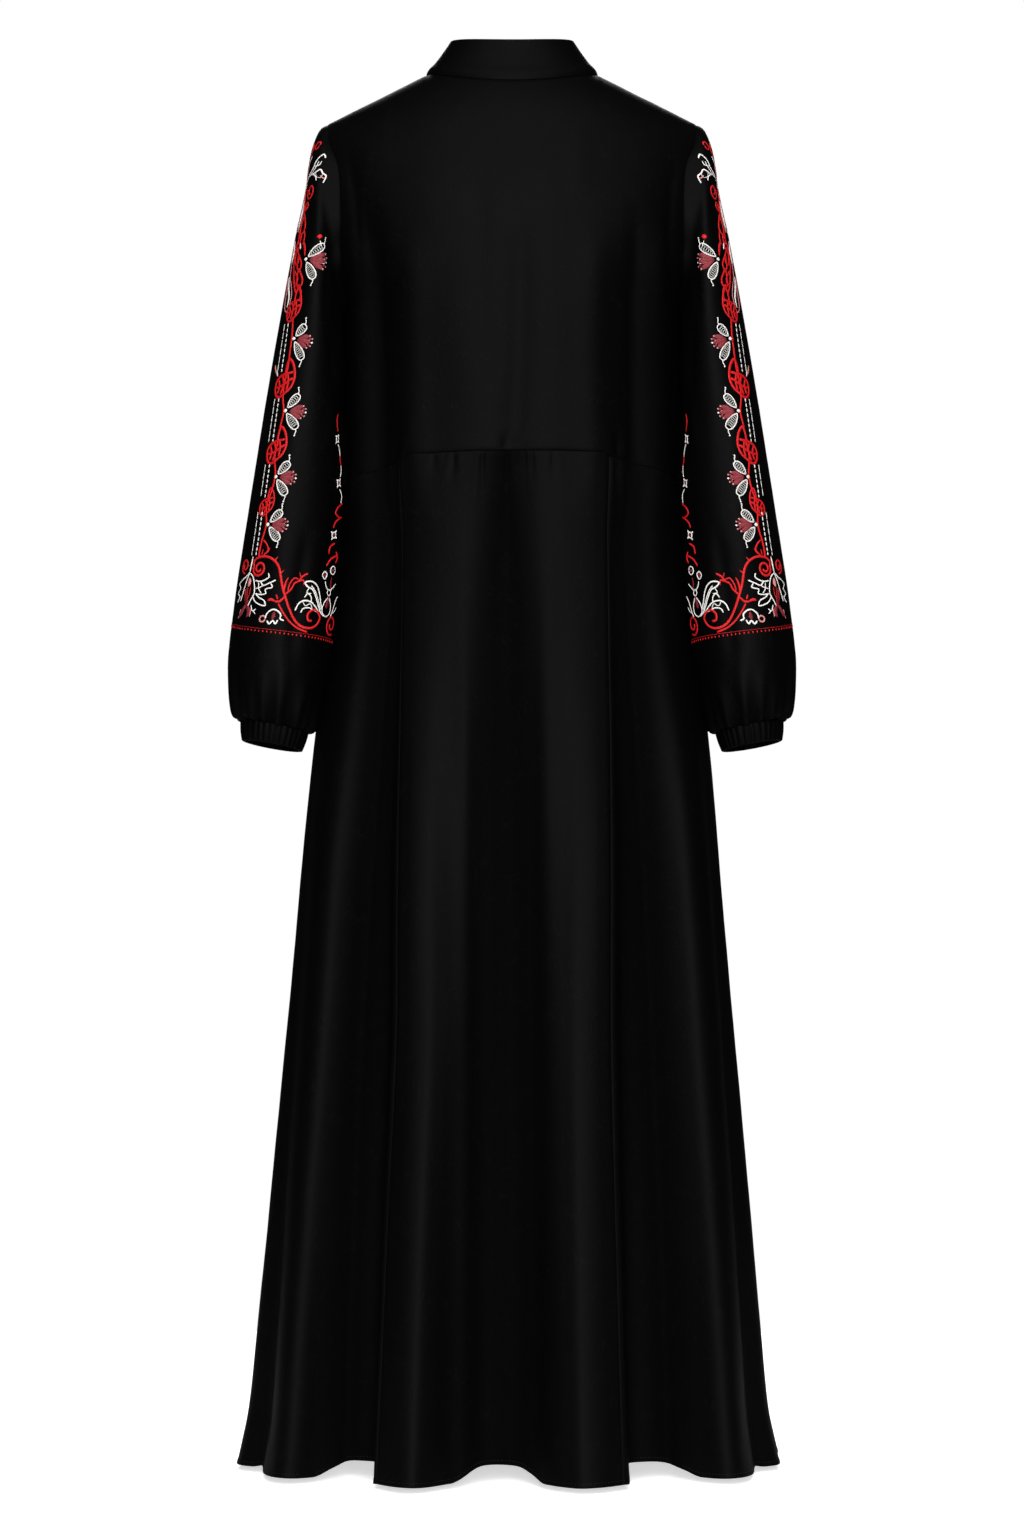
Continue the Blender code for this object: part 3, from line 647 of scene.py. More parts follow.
rows = []
turns = [math.radians(90.0 * i / COLLAR_COLUMNS) for i in range(COLLAR_COLUMNS + 1)]
back_half = [(NECK_X * math.sin(turn), True) for turn in turns]
front_half = [(x, False) for x, back in reversed(back_half[:-1])]
for level in COLLAR_LEVELS:
    row = []
    for x, back in back_half + front_half:
        base_z = neck_z(x, back)
        base_y = bodice_y(x, base_z, back)
        ratio = x / NECK_X
        top_x = COLLAR_TOP_X * ratio
        deep = math.sqrt(max(1.0 - ratio ** 2, 0.0))
        top_y = COLLAR_TOP_BACK * deep if back else -COLLAR_TOP_FRONT * deep
        centre_rise = COLLAR_BACK_HEIGHT if back else COLLAR_FRONT_HEIGHT
        rise = COLLAR_SIDE_HEIGHT + (centre_rise - COLLAR_SIDE_HEIGHT) * deep ** 2
        curl = math.sin(math.pi * level) * COLLAR_CURL
        y = base_y + (top_y - base_y) * level + curl * math.copysign(deep, top_y)
        z = base_z + COLLAR_SEAM + (rise - COLLAR_SEAM) * level
        row.append(Vector((x + (top_x - x) * level + curl * ratio, y, z)))
    row[-1].x = 2.0 * HALF_SEAM
    mirrored = [Vector((-point.x, point.y, point.z)) for point in row[1:]]
    rows.append(list(reversed(mirrored)) + row)


def collar_relief(point, r, c):
    """The roll above the neck seam, and a little unevenness."""
    level = COLLAR_LEVELS[r]
    roll = COLLAR_ROLL * bell((level - 0.16) / 0.11) - COLLAR_SINK * bell(level / 0.045)
    return roll + 0.5 * unevenness(point)


rows, outward = lay_out(rows, collar_relief)
collar = sew_piece("collar_cloth", rows, outward, black_crepe, wall=COLLAR_WALL)
bevel = collar.modifiers.new("turned_edge", "BEVEL")
bevel.width, bevel.segments = COLLAR_EDGE, 3
bevel.limit_method, bevel.angle_limit = "ANGLE", math.radians(50.0)
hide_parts("collar")

# Skirt
# Four panels of crepe: a centre back, two side backs and a front. The centre back is
# gathered at the waist, and the weight of the flare pulls all of it into long folds.
Flare = namedtuple("Flare", "z width back front side_y sway")
FLARE = [Flare(*row) for row in (
    (-0.398, 0.1712, 0.100, 0.104, -0.036, 0.0000),
    (-0.463, 0.1738, 0.105, 0.109, -0.036, 0.0000),
    (-0.523, 0.1775, 0.109, 0.113, -0.036, 0.0000),
    (-0.563, 0.1818, 0.112, 0.117, -0.035, 0.0000),
    (-0.613, 0.1900, 0.117, 0.122, -0.033, 0.0000),
    (-0.655, 0.1965, 0.121, 0.126, -0.030, 0.0000),
    (-0.727, 0.2025, 0.128, 0.133, -0.016, 0.0005),
    (-0.823, 0.2098, 0.135, 0.140, -0.004, 0.0010),
    (-0.967, 0.2225, 0.144, 0.149, 0.000, 0.0015),
    (-1.111, 0.2348, 0.153, 0.158, 0.000, 0.0022),
    (-1.255, 0.2470, 0.161, 0.166, 0.000, 0.0030),
    (-1.327, 0.2540, 0.166, 0.170, 0.000, 0.0035),
    (-1.382, 0.2650, 0.171, 0.175, 0.000, 0.0035),
)]
HEM_Z = -1.380
HEM_VALLEY_LIFT = 0.014
HEM_VALLEY_DEPTH = 0.028
Seam = namedtuple("Seam", "z left right")
PRINCESS = [Seam(*row) for row in (
    (-0.380, 0.1098, -0.0945),
    (-0.820, 0.1060, -0.0930),
    (-0.950, 0.1050, -0.0920),
    (-1.120, 0.1110, -0.0950),
    (-1.381, 0.1195, -0.1020),
)]

# Folds at the hem. Place runs across a panel from 0 to 1, rise is out from the section,
# lean is along it, and start is the height where the fold begins.
Fold = namedtuple("Fold", "place rise start lean", defaults=(0.0,))
SEAM_LEFT = Fold(0.0, 0.014, -0.46, 0.004)
SEAM_RIGHT = Fold(0.0, 0.014, -0.46, -0.004)
CENTRE_FOLDS = (
    SEAM_RIGHT,
    Fold(0.16, 0.031, -0.50),
    Fold(0.24, 0.023, -0.50),
    Fold(0.33, -0.003, -0.46),
    Fold(0.39, -0.016, -0.43, 0.003),
    Fold(0.50, -0.026, -0.41),
    Fold(0.61, -0.017, -0.43, -0.003),
    Fold(0.67, -0.003, -0.46),
    Fold(0.76, 0.022, -0.50),
    Fold(0.84, 0.031, -0.50),
    SEAM_LEFT._replace(place=1.0),
)
BACK_LEFT_FOLDS = (
    SEAM_LEFT,
    Fold(0.014, 0.012, -0.46, 0.005),
    Fold(0.085, -0.030, -0.43, -0.004),
    Fold(0.230, -0.016, -0.43),
    Fold(0.400, 0.020, -0.47),
    Fold(0.660, -0.007, -0.62),
    Fold(0.800, 0.008, -0.62),
    Fold(1.000, 0.000, -0.45),
)
BACK_RIGHT_FOLDS = (
    SEAM_RIGHT,
    Fold(0.014, 0.012, -0.46, -0.005),
    Fold(0.090, -0.028, -0.43, 0.004),
    Fold(0.270, -0.014, -0.43),
    Fold(0.430, 0.021, -0.47),
    Fold(0.680, -0.006, -0.66),
    Fold(0.810, 0.008, -0.66),
    Fold(1.000, 0.000, -0.45),
)
FRONT_FOLDS = (
    Fold(0.000, 0.000, -0.45),
    Fold(0.080, 0.010, -0.62),
    Fold(0.150, -0.010, -0.62),
    Fold(0.235, 0.024, -0.48),
    Fold(0.320, -0.022, -0.43, 0.003),
    Fold(0.410, 0.029, -0.48),
    Fold(0.495, -0.016, -0.42),
    Fold(0.585, 0.030, -0.48),
    Fold(0.680, -0.024, -0.43, -0.003),
    Fold(0.770, 0.023, -0.48),
    Fold(0.855, -0.009, -0.64),
    Fold(0.925, 0.011, -0.64),
    Fold(1.000, 0.000, -0.45),
)

# Long creases and crests of the back skirt, as paths of height and place across
BACK_SKIRT_CREASES = creases(
    (-0.0170, 0.026, (-0.16, 0.004), (-0.52, 0.006), (-0.80, 0.003), (-1.10, 0.002), (-1.70, 0.002)),
    (0.0045, 0.013, (-0.42, 0.042), (-0.70, 0.044), (-1.10, 0.046), (-1.70, 0.048)),
    (0.0045, 0.013, (-0.42, -0.030), (-0.70, -0.032), (-1.10, -0.034), (-1.70, -0.036)),
    (0.0050, 0.022, (-0.50, 0.098), (-0.80, 0.098), (-1.10, 0.102), (-1.70, 0.108)),
    (0.0050, 0.022, (-0.50, -0.086), (-0.80, -0.086), (-1.10, -0.088), (-1.70, -0.094)),
    (-0.0190, 0.017, (-0.10, 0.120), (-0.40, 0.128), (-0.60, 0.133), (-0.80, 0.142), (-1.00, 0.150),
     (-1.25, 0.157), (-1.70, 0.166)),
    (-0.0190, 0.017, (-0.10, -0.112), (-0.40, -0.118), (-0.60, -0.126), (-0.80, -0.134), (-1.00, -0.141),
     (-1.25, -0.149), (-1.70, -0.158)),
    (0.0080, 0.016, (-0.56, 0.172), (-0.80, 0.186), (-1.10, 0.204), (-1.60, 0.226)),
    (0.0080, 0.016, (-0.56, -0.168), (-0.80, -0.180), (-1.10, -0.198), (-1.60, -0.220)),
    (0.0010, 0.0050, (-0.55, 0.177), (-0.66, 0.184), (-0.82, 0.198), (-1.11, 0.219), (-1.60, 0.262)),
    (0.0010, 0.0050, (-0.55, -0.173), (-0.66, -0.178), (-0.86, -0.189), (-1.09, -0.204), (-1.60, -0.255)),
)
FRONT_SKIRT_CREASES = creases(
    (-0.0030, 0.012, (-0.42, 0.100), (-0.60, 0.112), (-0.85, 0.124)),
    (-0.0032, 0.012, (-0.42, -0.098), (-0.58, -0.110), (-0.80, -0.120)),
    (-0.0026, 0.008, (-0.41, 0.034), (-0.52, 0.038), (-0.70, 0.046)),
    (-0.0026, 0.008, (-0.41, -0.030), (-0.54, -0.036), (-0.72, -0.040)),
    (0.0014, 0.006, (-0.80, 0.060), (-1.10, 0.070), (-1.60, 0.084)),
    (0.0014, 0.006, (-0.85, -0.062), (-1.15, -0.072), (-1.60, -0.084)),
)

WAIST_HOLD = 0.080
SKIRT_TOP_LEVELS = (
    0.0, 0.0006, 0.0013, 0.0024, 0.004, 0.006, 0.0085, 0.0115, 0.015, 0.019, 0.0235, 0.0285, 0.034,
)
SKIRT_ROWS = 118
HEM_FOLD = 0.0032
HEM_RISE = 0.0004
HEM_SOFTNESS = 0.0012
PANEL_EDGE = (0.0, 0.0006, 0.0013, 0.0023, 0.0037, 0.0055, 0.0078)


def fold_at(folds, place, z):
    """Rise and lean of the folds across a panel at height z."""
    places = [fold.place for fold in folds]
    moves = []
    for fold in folds:
        share = max(fold.start - z, 0.0) / (fold.start - HEM_Z)
        moves.append(Vector((fold.rise * share ** 1.1, fold.lean * share)))
    return curve(places, moves, place)


def skirt_point(angle, folds, place, level):
    """Point of the skirt: angle is 0 at the centre back, level is 0 at the waist, 1 at the hem."""
    side = math.copysign(1.0, math.sin(angle))
    back = math.cos(angle) > 0.0
    facing = 1.0 if back else -1.0
    sine, cosine = abs(math.sin(angle)) ** (2.0 / BODY_POWER), abs(math.cos(angle)) ** (2.0 / BODY_POWER)
    top = waist_z(side * WAIST_X * sine, back) - 2.0 * HALF_SEAM
    valley = ease(-fold_at(folds, place, HEM_Z)[0] / HEM_VALLEY_DEPTH)
    z = top + level * (HEM_Z + HEM_VALLEY_LIFT * valley - top)
    width = lookup(FLARE, "width", z)
    depth = section_depth(FLARE, z, back)
    x = side * width * sine
    y = facing * depth * cosine
    out_x = side * (abs(x) / width) ** (BODY_POWER - 1.0) / width
    out_y = facing * (abs(y) / depth) ** (BODY_POWER - 1.0) / depth
    size = math.hypot(out_x, out_y)
    out_x, out_y = out_x / size, out_y / size
    rise, lean = fold_at(folds, place, z)
    x += rise * out_x + lean * out_y + lookup(FLARE, "sway", z)
    y += rise * out_y - lean * out_x + facing * HALF_SEAM + lookup(FLARE, "side_y", z)
    return Vector((x, y, z))


def seam_angle(level, side):
    """Angle of a princess seam round the body at a level of the skirt."""
    z = WAIST_CENTRE_Z + level * (HEM_Z - WAIST_CENTRE_Z)
    x = lookup(PRINCESS, side, z)
    return math.copysign(math.asin((abs(x) / lookup(FLARE, "width", z)) ** (BODY_POWER / 2.0)), x)


def seam_step(level):
    """Half a seam's gap as an angle round the body."""
    z = WAIST_CENTRE_Z + level * (HEM_Z - WAIST_CENTRE_Z)
    return 2.0 * HALF_SEAM / (lookup(FLARE, "width", z) + lookup(FLARE, "back", z))


def skirt_relief(own, back, z_of_hem):
    """Relief of a skirt panel: it leaves the waist with the bodice's creases, then has its own."""
    def relief(point, r, c):
        seam_z = waist_z(point.x, back)
        held = 1.0 - ease((seam_z - point.z) / WAIST_HOLD)
        out = crease_depth(own, point.x, point.z) * (1.0 - held) + unevenness(point)
        out += bodice_creases(point.x, seam_z, back) * held
        if back:
            out -= pleat_depth(point.x, seam_z - point.z) - pleat_depth(point.x, 0.0) * held
        above_hem = point.z - z_of_hem[c]
        out += HEM_RISE * (1.0 - ease((above_hem - HEM_FOLD) / HEM_SOFTNESS))
        return out
    return relief


def panel_places(width, columns):
    """Places across a panel, closer together at its two seams."""
    edge = [place / width for place in PANEL_EDGE]
    inner = edge[-1] + 0.010 / width
    middle = [inner + (1.0 - 2.0 * inner) * i / columns for i in range(columns + 1)]
    return edge + middle + [1.0 - place for place in reversed(edge)]


levels = list(SKIRT_TOP_LEVELS) + [0.040 + 0.953 * (i / SKIRT_ROWS) ** 0.94 for i in range(SKIRT_ROWS + 1)]
levels += [0.9945, 0.9958, 0.9968, 0.9977, 0.9988, 1.0]
QUARTER = math.pi / 2.0 - 1e-6


def skirt_rows(low, high, folds, places):
    """Rows of a skirt panel between two seams, which are functions of the level."""
    rows = []
    for level in levels:
        start, end = low(level), high(level)
        rows.append([skirt_point(start + (end - start) * place, folds, place, level) for place in places])
    return rows


SkirtPanel = namedtuple("SkirtPanel", "name low high folds width columns creases back flat area held")
SKIRT_PANELS = (
    SkirtPanel(
        name="back_skirt_centre", low=lambda level: seam_angle(level, "right") + seam_step(level),
        high=lambda level: seam_angle(level, "left") - seam_step(level), folds=CENTRE_FOLDS,
        width=0.24, columns=120, creases=BACK_SKIRT_CREASES, back=True,
        flat=(0.33, 1.02), area=0.27, held="gathered",
    ),
    SkirtPanel(
        name="back_skirt_left", low=lambda level: seam_angle(level, "left") + seam_step(level),
        high=lambda level: QUARTER, folds=BACK_LEFT_FOLDS,
        width=0.22, columns=66, creases=BACK_SKIRT_CREASES, back=True,
        flat=(0.33, 1.02), area=0.24, held="hung",
    ),
    SkirtPanel(
        name="back_skirt_right", low=lambda level: seam_angle(level, "right") - seam_step(level),
        high=lambda level: -QUARTER, folds=BACK_RIGHT_FOLDS,
        width=0.22, columns=66, creases=BACK_SKIRT_CREASES, back=True,
        flat=(0.33, 1.02), area=0.24, held="hung",
    ),
    SkirtPanel(
        name="front_skirt", low=lambda level: math.pi / 2.0 + 1e-6,
        high=lambda level: 1.5 * math.pi - 1e-6, folds=FRONT_FOLDS,
        width=0.62, columns=116, creases=FRONT_SKIRT_CREASES, back=False,
        flat=(0.80, 1.02), area=0.64, held="hung",
    ),
)
hems = {}
for panel in SKIRT_PANELS:
    rows = skirt_rows(panel.low, panel.high, panel.folds, panel_places(panel.width, panel.columns))
    dull = hollows(panel.creases, rows)
    relief = skirt_relief(panel.creases, panel.back, [point.z for point in rows[-1]])
    rows, outward = lay_out(rows, relief, sewn=("start", "end", "top"))
    hems[panel.name] = rows[-8:]
    piece = sew_piece(panel.name + "_cloth", rows, outward, black_crepe, dull=dull)
    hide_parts(panel.name)

# Sleeves
# Each sleeve is one piece of crepe, sewn into the armhole, hanging a little away from the
# body, and gathered at the bottom into its cuff so that it puffs over it.
ARM_Y = 0.013
ARM_SHIFT_SECTIONS = 4
ARMHOLE_LAP = 0.0020
Arm = namedtuple("Arm", "out_x out_z in_x in_z depth tilt")
ARM = [Arm(*row) for row in (
    (0.1920, -0.0545, 0.1712, -0.2395, 0.0640, 0.00),
    (0.2000, -0.0760, 0.1718, -0.2470, 0.0665, 0.00),
    (0.2055, -0.1150, 0.1716, -0.2600, 0.0670, 0.00),
    (0.2150, -0.1600, 0.1706, -0.2800, 0.0650, 0.00),
    (0.2245, -0.2100, 0.1699, -0.3050, 0.0620, 0.00),
    (0.2340, -0.2620, 0.1692, -0.3350, 0.0595, 0.00),
    (0.2425, -0.3120, 0.1688, -0.3650, 0.0580, 0.00),
    (0.2510, -0.3650, 0.1692, -0.3990, 0.0570, 0.00),
    (0.2600, -0.4210, 0.1715, -0.4440, 0.0560, 0.00),
    (0.2690, -0.4780, 0.1750, -0.4970, 0.0560, 0.00),
    (0.2770, -0.5330, 0.1795, -0.5500, 0.0565, 0.00),
    (0.2820, -0.5760, 0.1850, -0.5930, 0.0565, 0.02),
    (0.2808, -0.6060, 0.1905, -0.6220, 0.0550, 0.04),
    (0.2785, -0.6270, 0.1955, -0.6420, 0.0500, 0.07),
    (0.2755, -0.6380, 0.1980, -0.6515, 0.0430, 0.09),
    (0.2695, -0.6430, 0.2040, -0.6556, 0.0340, 0.10),
)]
SLEEVE_COLUMNS = 132
SLEEVE_ROWS = 112
CUFF_STEPS = (0.0150, 0.0120, 0.0092, 0.0068, 0.0048, 0.0032, 0.0020, 0.0010, 0.0)
SLEEVE_CREASE_FADE = 0.3
GATHER_STRENGTH = 1.7

# Gathers drawn in by the cuff, in degrees from the outer side towards the back: the place
# at the cuff and at the top of each, how far it stands out, its width and its length.
Gather = namedtuple("Gather", "turn top_turn rise spread length")
SLEEVE_GATHERS = [Gather(*row) for row in (
    (6, 4, 0.0030, 6.0, 0.075),
    (29, 25, 0.0042, 5.5, 0.095),
    (44, 42, 0.0018, 4.5, 0.035),
    (61, 56, 0.0036, 5.5, 0.055),
    (79, 75, 0.0038, 5.5, 0.062),
    (99, 101, 0.0044, 6.5, 0.082),
    (123, 136, 0.0042, 6.5, 0.070),
    (141, 150, 0.0022, 5.0, 0.035),
    (160, 168, 0.0034, 6.5, 0.055),
    (182, 184, 0.0030, 6.0, 0.060),
    (203, 198, 0.0036, 6.5, 0.055),
    (226, 219, 0.0040, 6.5, 0.072),
    (248, 246, 0.0036, 6.0, 0.064),
    (268, 267, 0.0042, 6.0, 0.078),
    (290, 294, 0.0034, 5.5, 0.060),
    (311, 316, 0.0036, 5.5, 0.050),
    (333, 338, 0.0034, 6.0, 0.085),
)]

# Soft creases of the sleeve above the puff: height and degrees along each path
SLEEVE_CREASES = creases(
    (0.0036, 26.0, (-0.205, 178.0), (-0.26, 178.0), (-0.33, 178.0)),
    (0.0032, 24.0, (-0.38, 180.0), (-0.50, 180.0), (-0.62, 180.0)),
    (-0.0030, 9.0, (-0.06, 122.0), (-0.14, 132.0), (-0.23, 140.0)),
    (-0.0018, 8.0, (-0.07, 100.0), (-0.16, 110.0), (-0.27, 117.0)),
    (0.0022, 7.0, (-0.10, 146.0), (-0.20, 152.0), (-0.30, 156.0)),
    (-0.0024, 10.0, (-0.24, 128.0), (-0.32, 142.0), (-0.36, 158.0)),
    (0.0016, 9.0, (-0.28, 152.0), (-0.33, 140.0), (-0.39, 128.0)),
    (-0.0020, 10.0, (-0.36, 165.0), (-0.45, 150.0), (-0.54, 142.0)),
    (0.0016, 14.0, (-0.30, 70.0), (-0.42, 78.0), (-0.54, 84.0)),
    (-0.0022, 9.0, (-0.44, 112.0), (-0.53, 108.0), (-0.61, 110.0)),
    (-0.0028, 9.0, (-0.08, 250.0), (-0.16, 236.0), (-0.25, 226.0)),
    (-0.0030, 9.0, (-0.26, 222.0), (-0.33, 208.0), (-0.38, 200.0)),
    (0.0018, 9.0, (-0.30, 205.0), (-0.34, 222.0), (-0.40, 236.0)),
    (0.0016, 14.0, (-0.34, 290.0), (-0.44, 282.0), (-0.55, 276.0)),
)


def armhole_point(angle):
    """Point of the sleeve's first ring, which laps under the armhole edge."""
    middle, half = 0.5 * (SHOULDER_Z + UNDERARM), 0.5 * (SHOULDER_Z - UNDERARM)
    z = middle + half * math.cos(angle)
    edge = lookup(CHEST, "edge", z)
    if z > CHEST_LEVEL:
        z = CHEST_LEVEL + (z - CHEST_LEVEL) * (shoulder_z(edge) - CHEST_LEVEL) / (SHOULDER_Z - CHEST_LEVEL)
    return Vector((edge - ARMHOLE_LAP, bodice_y(edge - ARMHOLE_LAP, z, math.sin(angle) >= 0.0), z))


def section_point(section, angle, out=0.0, tilt=0.0, shift=ARM_Y):
    """Point of a sleeve or cuff section: angle 0 is the outer side, a quarter turn the back."""
    half_x = 0.5 * (section.out_x - section.in_x)
    half_z = 0.5 * (section.out_z - section.in_z)
    length = math.hypot(half_x, half_z)
    y = (section.depth + out) * math.sin(angle)
    scale = (length + out) / length * math.cos(angle)
    return Vector((
        section.in_x + half_x + half_x * scale,
        y + shift,
        section.in_z + half_z + half_z * scale + tilt * y,
    ))


def turn_between(turn, middle):
    """Degrees from one place round the sleeve to another, the short way."""
    return (turn - middle + 180.0) % 360.0 - 180.0


def gather_hollow(turn, above_cuff):
    """How deep between the gathers over the cuff a place lies, from 0 to 1."""
    near = 0.0
    for gather in SLEEVE_GATHERS:
        middle = gather.turn + turn_between(gather.top_turn, gather.turn) * above_cuff / gather.length
        spread = gather.spread * (0.75 + 0.9 * above_cuff / 0.05)
        near = max(near, bell(turn_between(turn, middle) / spread))
    return (1.0 - near) * (1.0 - ease(above_cuff / 0.07))


def gather_rise(turn, above_cuff):
    """How far the gathers stand out at a turn and a distance above the cuff seam."""
    out = -0.0009 * (1.0 - ease(above_cuff / 0.05))
    for gather in SLEEVE_GATHERS:
        share = above_cuff / gather.length
        if share >= 1.0:
            continue
        middle = gather.turn + turn_between(gather.top_turn, gather.turn) * share
        spread = gather.spread * (1.0 + 0.8 * share)
        fade = (1.0 - share) ** 1.1 * (0.35 + 0.65 * ease(above_cuff / 0.008))
        out += GATHER_STRENGTH * gather.rise * fade * bell(turn_between(turn, middle) / spread)
    return out


turns = [2.0 * math.pi * c / SLEEVE_COLUMNS for c in range(SLEEVE_COLUMNS)]
rings = [[armhole_point(turn) for turn in turns]]
for number, section in enumerate(ARM):
    shift = ARM_Y * ease(number / ARM_SHIFT_SECTIONS)
    rings.append([section_point(section, turn, tilt=section.tilt, shift=shift) for turn in turns])
stations = [0.0]
inner = SLEEVE_COLUMNS // 2
for low, high in zip(rings, rings[1:]):
    stations.append(stations[-1] + 0.5 * ((high[0] - low[0]).length + (high[inner] - low[inner]).length))
SLEEVE_LENGTH = stations[-1]
downs = [0.0, 0.0005, 0.0012, 0.0022, 0.0038]
downs += [0.006 + (SLEEVE_LENGTH - 0.024) * i / SLEEVE_ROWS for i in range(SLEEVE_ROWS + 1)]
downs += [SLEEVE_LENGTH - step for step in CUFF_STEPS]
bare_sleeve = [[curve(stations, column, down) for column in zip(*rings)] for down in downs]


def sleeve_relief(point, r, c):
    """Relief of a sleeve: the gathers over the cuff, the soft creases and the head's ease."""
    turn = 360.0 * c / SLEEVE_COLUMNS
    above_cuff = SLEEVE_LENGTH - downs[r]
    out = gather_rise(turn, above_cuff) if above_cuff < 0.1 else 0.0
    for crease in SLEEVE_CREASES:
        middle, strength = along_crease(crease, point.z, SLEEVE_CREASE_FADE)
        out += crease.depth * strength * bell(turn_between(turn, middle) / crease.width)
    return out + unevenness(point) * ease(downs[r] / 0.02)


sleeve_rows, sleeve_outward = lay_out(bare_sleeve, sleeve_relief, sewn=("top",), closed=True)
sleeve_dull = [
    gather_hollow(360.0 * c / SLEEVE_COLUMNS, SLEEVE_LENGTH - down)
    for down in downs for c in range(SLEEVE_COLUMNS)
]
for hand, side in HANDS:
    rows = [[Vector((side * point.x, point.y, point.z)) for point in row] for row in sleeve_rows]
    outward = sleeve_outward if side > 0.0 else not sleeve_outward
    sleeve = sew_piece("sleeve_" + hand + "_cloth", rows, outward, black_crepe, closed=True, dull=sleeve_dull)
    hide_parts("sleeve_" + hand)

# Cuffs
# Crepe folded double over wide elastic. The elastic draws it into uneven soft ribs, and
# the lower rim is the fold.
Band = namedtuple("Band", "out_x out_z in_x in_z depth")
CUFF = [Band(*row) for row in (
    (0.2688, -0.6432, 0.2042, -0.6558, 0.0330),
    (0.2695, -0.6436, 0.2036, -0.6562, 0.0336),
    (0.2700, -0.6450, 0.2037, -0.6574, 0.0340),
    (0.2700, -0.6535, 0.2060, -0.6650, 0.0330),
    (0.2690, -0.6620, 0.2090, -0.6724, 0.0308),
    (0.2685, -0.6636, 0.2095, -0.6738, 0.0304),
    (0.2676, -0.6642, 0.2103, -0.6743, 0.0298),
)]
CUFF_WALL = 0.0017
CUFF_RIBS = 32
CUFF_RIB_COLUMNS = 8
CUFF_TILT = 0.10
CUFF_LEVELS = 15
RIB_HEIGHT = 0.0016


def rib_rise(turn, level, side):
    """Uneven rounded ribs, pinched a little at the seam and the rim."""
    wander = 0.5 * noise.noise(Vector((math.cos(turn) * 3.0, math.sin(turn) * 3.0, level * 0.9 + side * 5.0)))
    height = 0.8 + 0.5 * noise.noise(Vector((math.cos(turn) * 6.0, math.sin(turn) * 6.0, side * 9.0)))
    wave = abs(math.cos(0.5 * CUFF_RIBS * turn + 1.6 * wander))
    pinch = 0.55 + 0.45 * math.sin(math.pi * min(max(level, 0.03), 0.97)) ** 0.6
    return RIB_HEIGHT * height * pinch * (wave ** 0.8 - 0.35)


def add_cuff(name, side):
    """Closed ring of the cuff, ribbed outside over a plainer inside."""
    around = CUFF_RIBS * CUFF_RIB_COLUMNS
    places = [i / (len(CUFF) - 1) for i in range(len(CUFF))]
    bands = []
    for i in range(CUFF_LEVELS):
        level = i / (CUFF_LEVELS - 1)
        values = [curve(places, [getattr(band, field) for band in CUFF], level) for field in Band._fields]
        bands.append((level, Band(*values)))
    points = []
    for wall, band_list in ((0.0, bands), (-CUFF_WALL, list(reversed(bands)))):
        for level, band in band_list:
            for c in range(around):
                turn = 2.0 * math.pi * c / around
                share = 1.0 if wall == 0.0 else 0.35
                out = wall + share * rib_rise(turn, level, side)
                point = section_point(band, turn, out, CUFF_TILT)
                points.append((side * point.x, point.y, point.z))
    total = 2 * CUFF_LEVELS
    faces = []
    for r in range(total):
        for c in range(around):
            right = (c + 1) % around
            low, high = r * around, (r + 1) % total * around
            face = (low + c, high + c, high + right, low + right)
            faces.append(face if side > 0.0 else face[::-1])
    return make_piece(name, points, faces, elastic_crepe)


elastic_crepe = crepe("elastic_cuff_cloth", grain=1.4)
for hand, side in HANDS:
    cuff = add_cuff("cuff_" + hand + "_cloth", side)
    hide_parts("cuff_" + hand)

# Embroidery
# Satin stitch in red, rose, off-white and dark red thread, worked on the sleeves before
# they are sewn. Each stitched line is a low rounded ribbon that lies on the crepe.
SKIN_STEP = 2.0
SKIN_TOP = 58.0
SKIN_LOW = 640.0

columns = list(zip(*sleeve_rows))


def sleeve_slice(drop, toward):
    """Points every 2 mm round the sleeve at a drop in mm, from the outer line on."""
    z = -0.001 * drop
    line = []
    for step in range(SLEEVE_COLUMNS // 2 + 1):
        column = columns[toward * step % SLEEVE_COLUMNS]
        if column[0].z < z:
            break
        r = next((i for i in range(len(column) - 1) if column[i + 1].z <= z), None)
        if r is None:
            break
        share = (column[r].z - z) / max(column[r].z - column[r + 1].z, 1e-9)
        line.append(column[r].lerp(column[r + 1], share))
    even = [line[0]]
    gone, target = 0.0, 0.001 * SKIN_STEP
    for low, high in zip(line, line[1:]):
        length = (high - low).length
        while length > 0.0 and gone + length >= target:
            even.append(low.lerp(high, (target - gone) / length))
            target += 0.001 * SKIN_STEP
        gone += length
    return even


drops = [SKIN_TOP + SKIN_STEP * i for i in range(int((SKIN_LOW - SKIN_TOP) / SKIN_STEP) + 1)]
skin = {toward: [sleeve_slice(drop, toward) for drop in drops] for toward in (1, -1)}


def on_sleeve(across, drop):
    """Place on the left sleeve: mm from the outer line towards the back, and mm down."""
    lines = skin[1 if across >= 0.0 else -1]
    row = min(max((drop - SKIN_TOP) / SKIN_STEP, 0.0), len(lines) - 1.001)
    r = int(row)
    ends = []
    for line in (lines[r], lines[r + 1]):
        column = min(abs(across) / SKIN_STEP, len(line) - 1.001)
        c = max(int(column), 0)
        ends.append(line[c].lerp(line[min(c + 1, len(line) - 1)], column - c))
    return ends[0].lerp(ends[1], row - r)
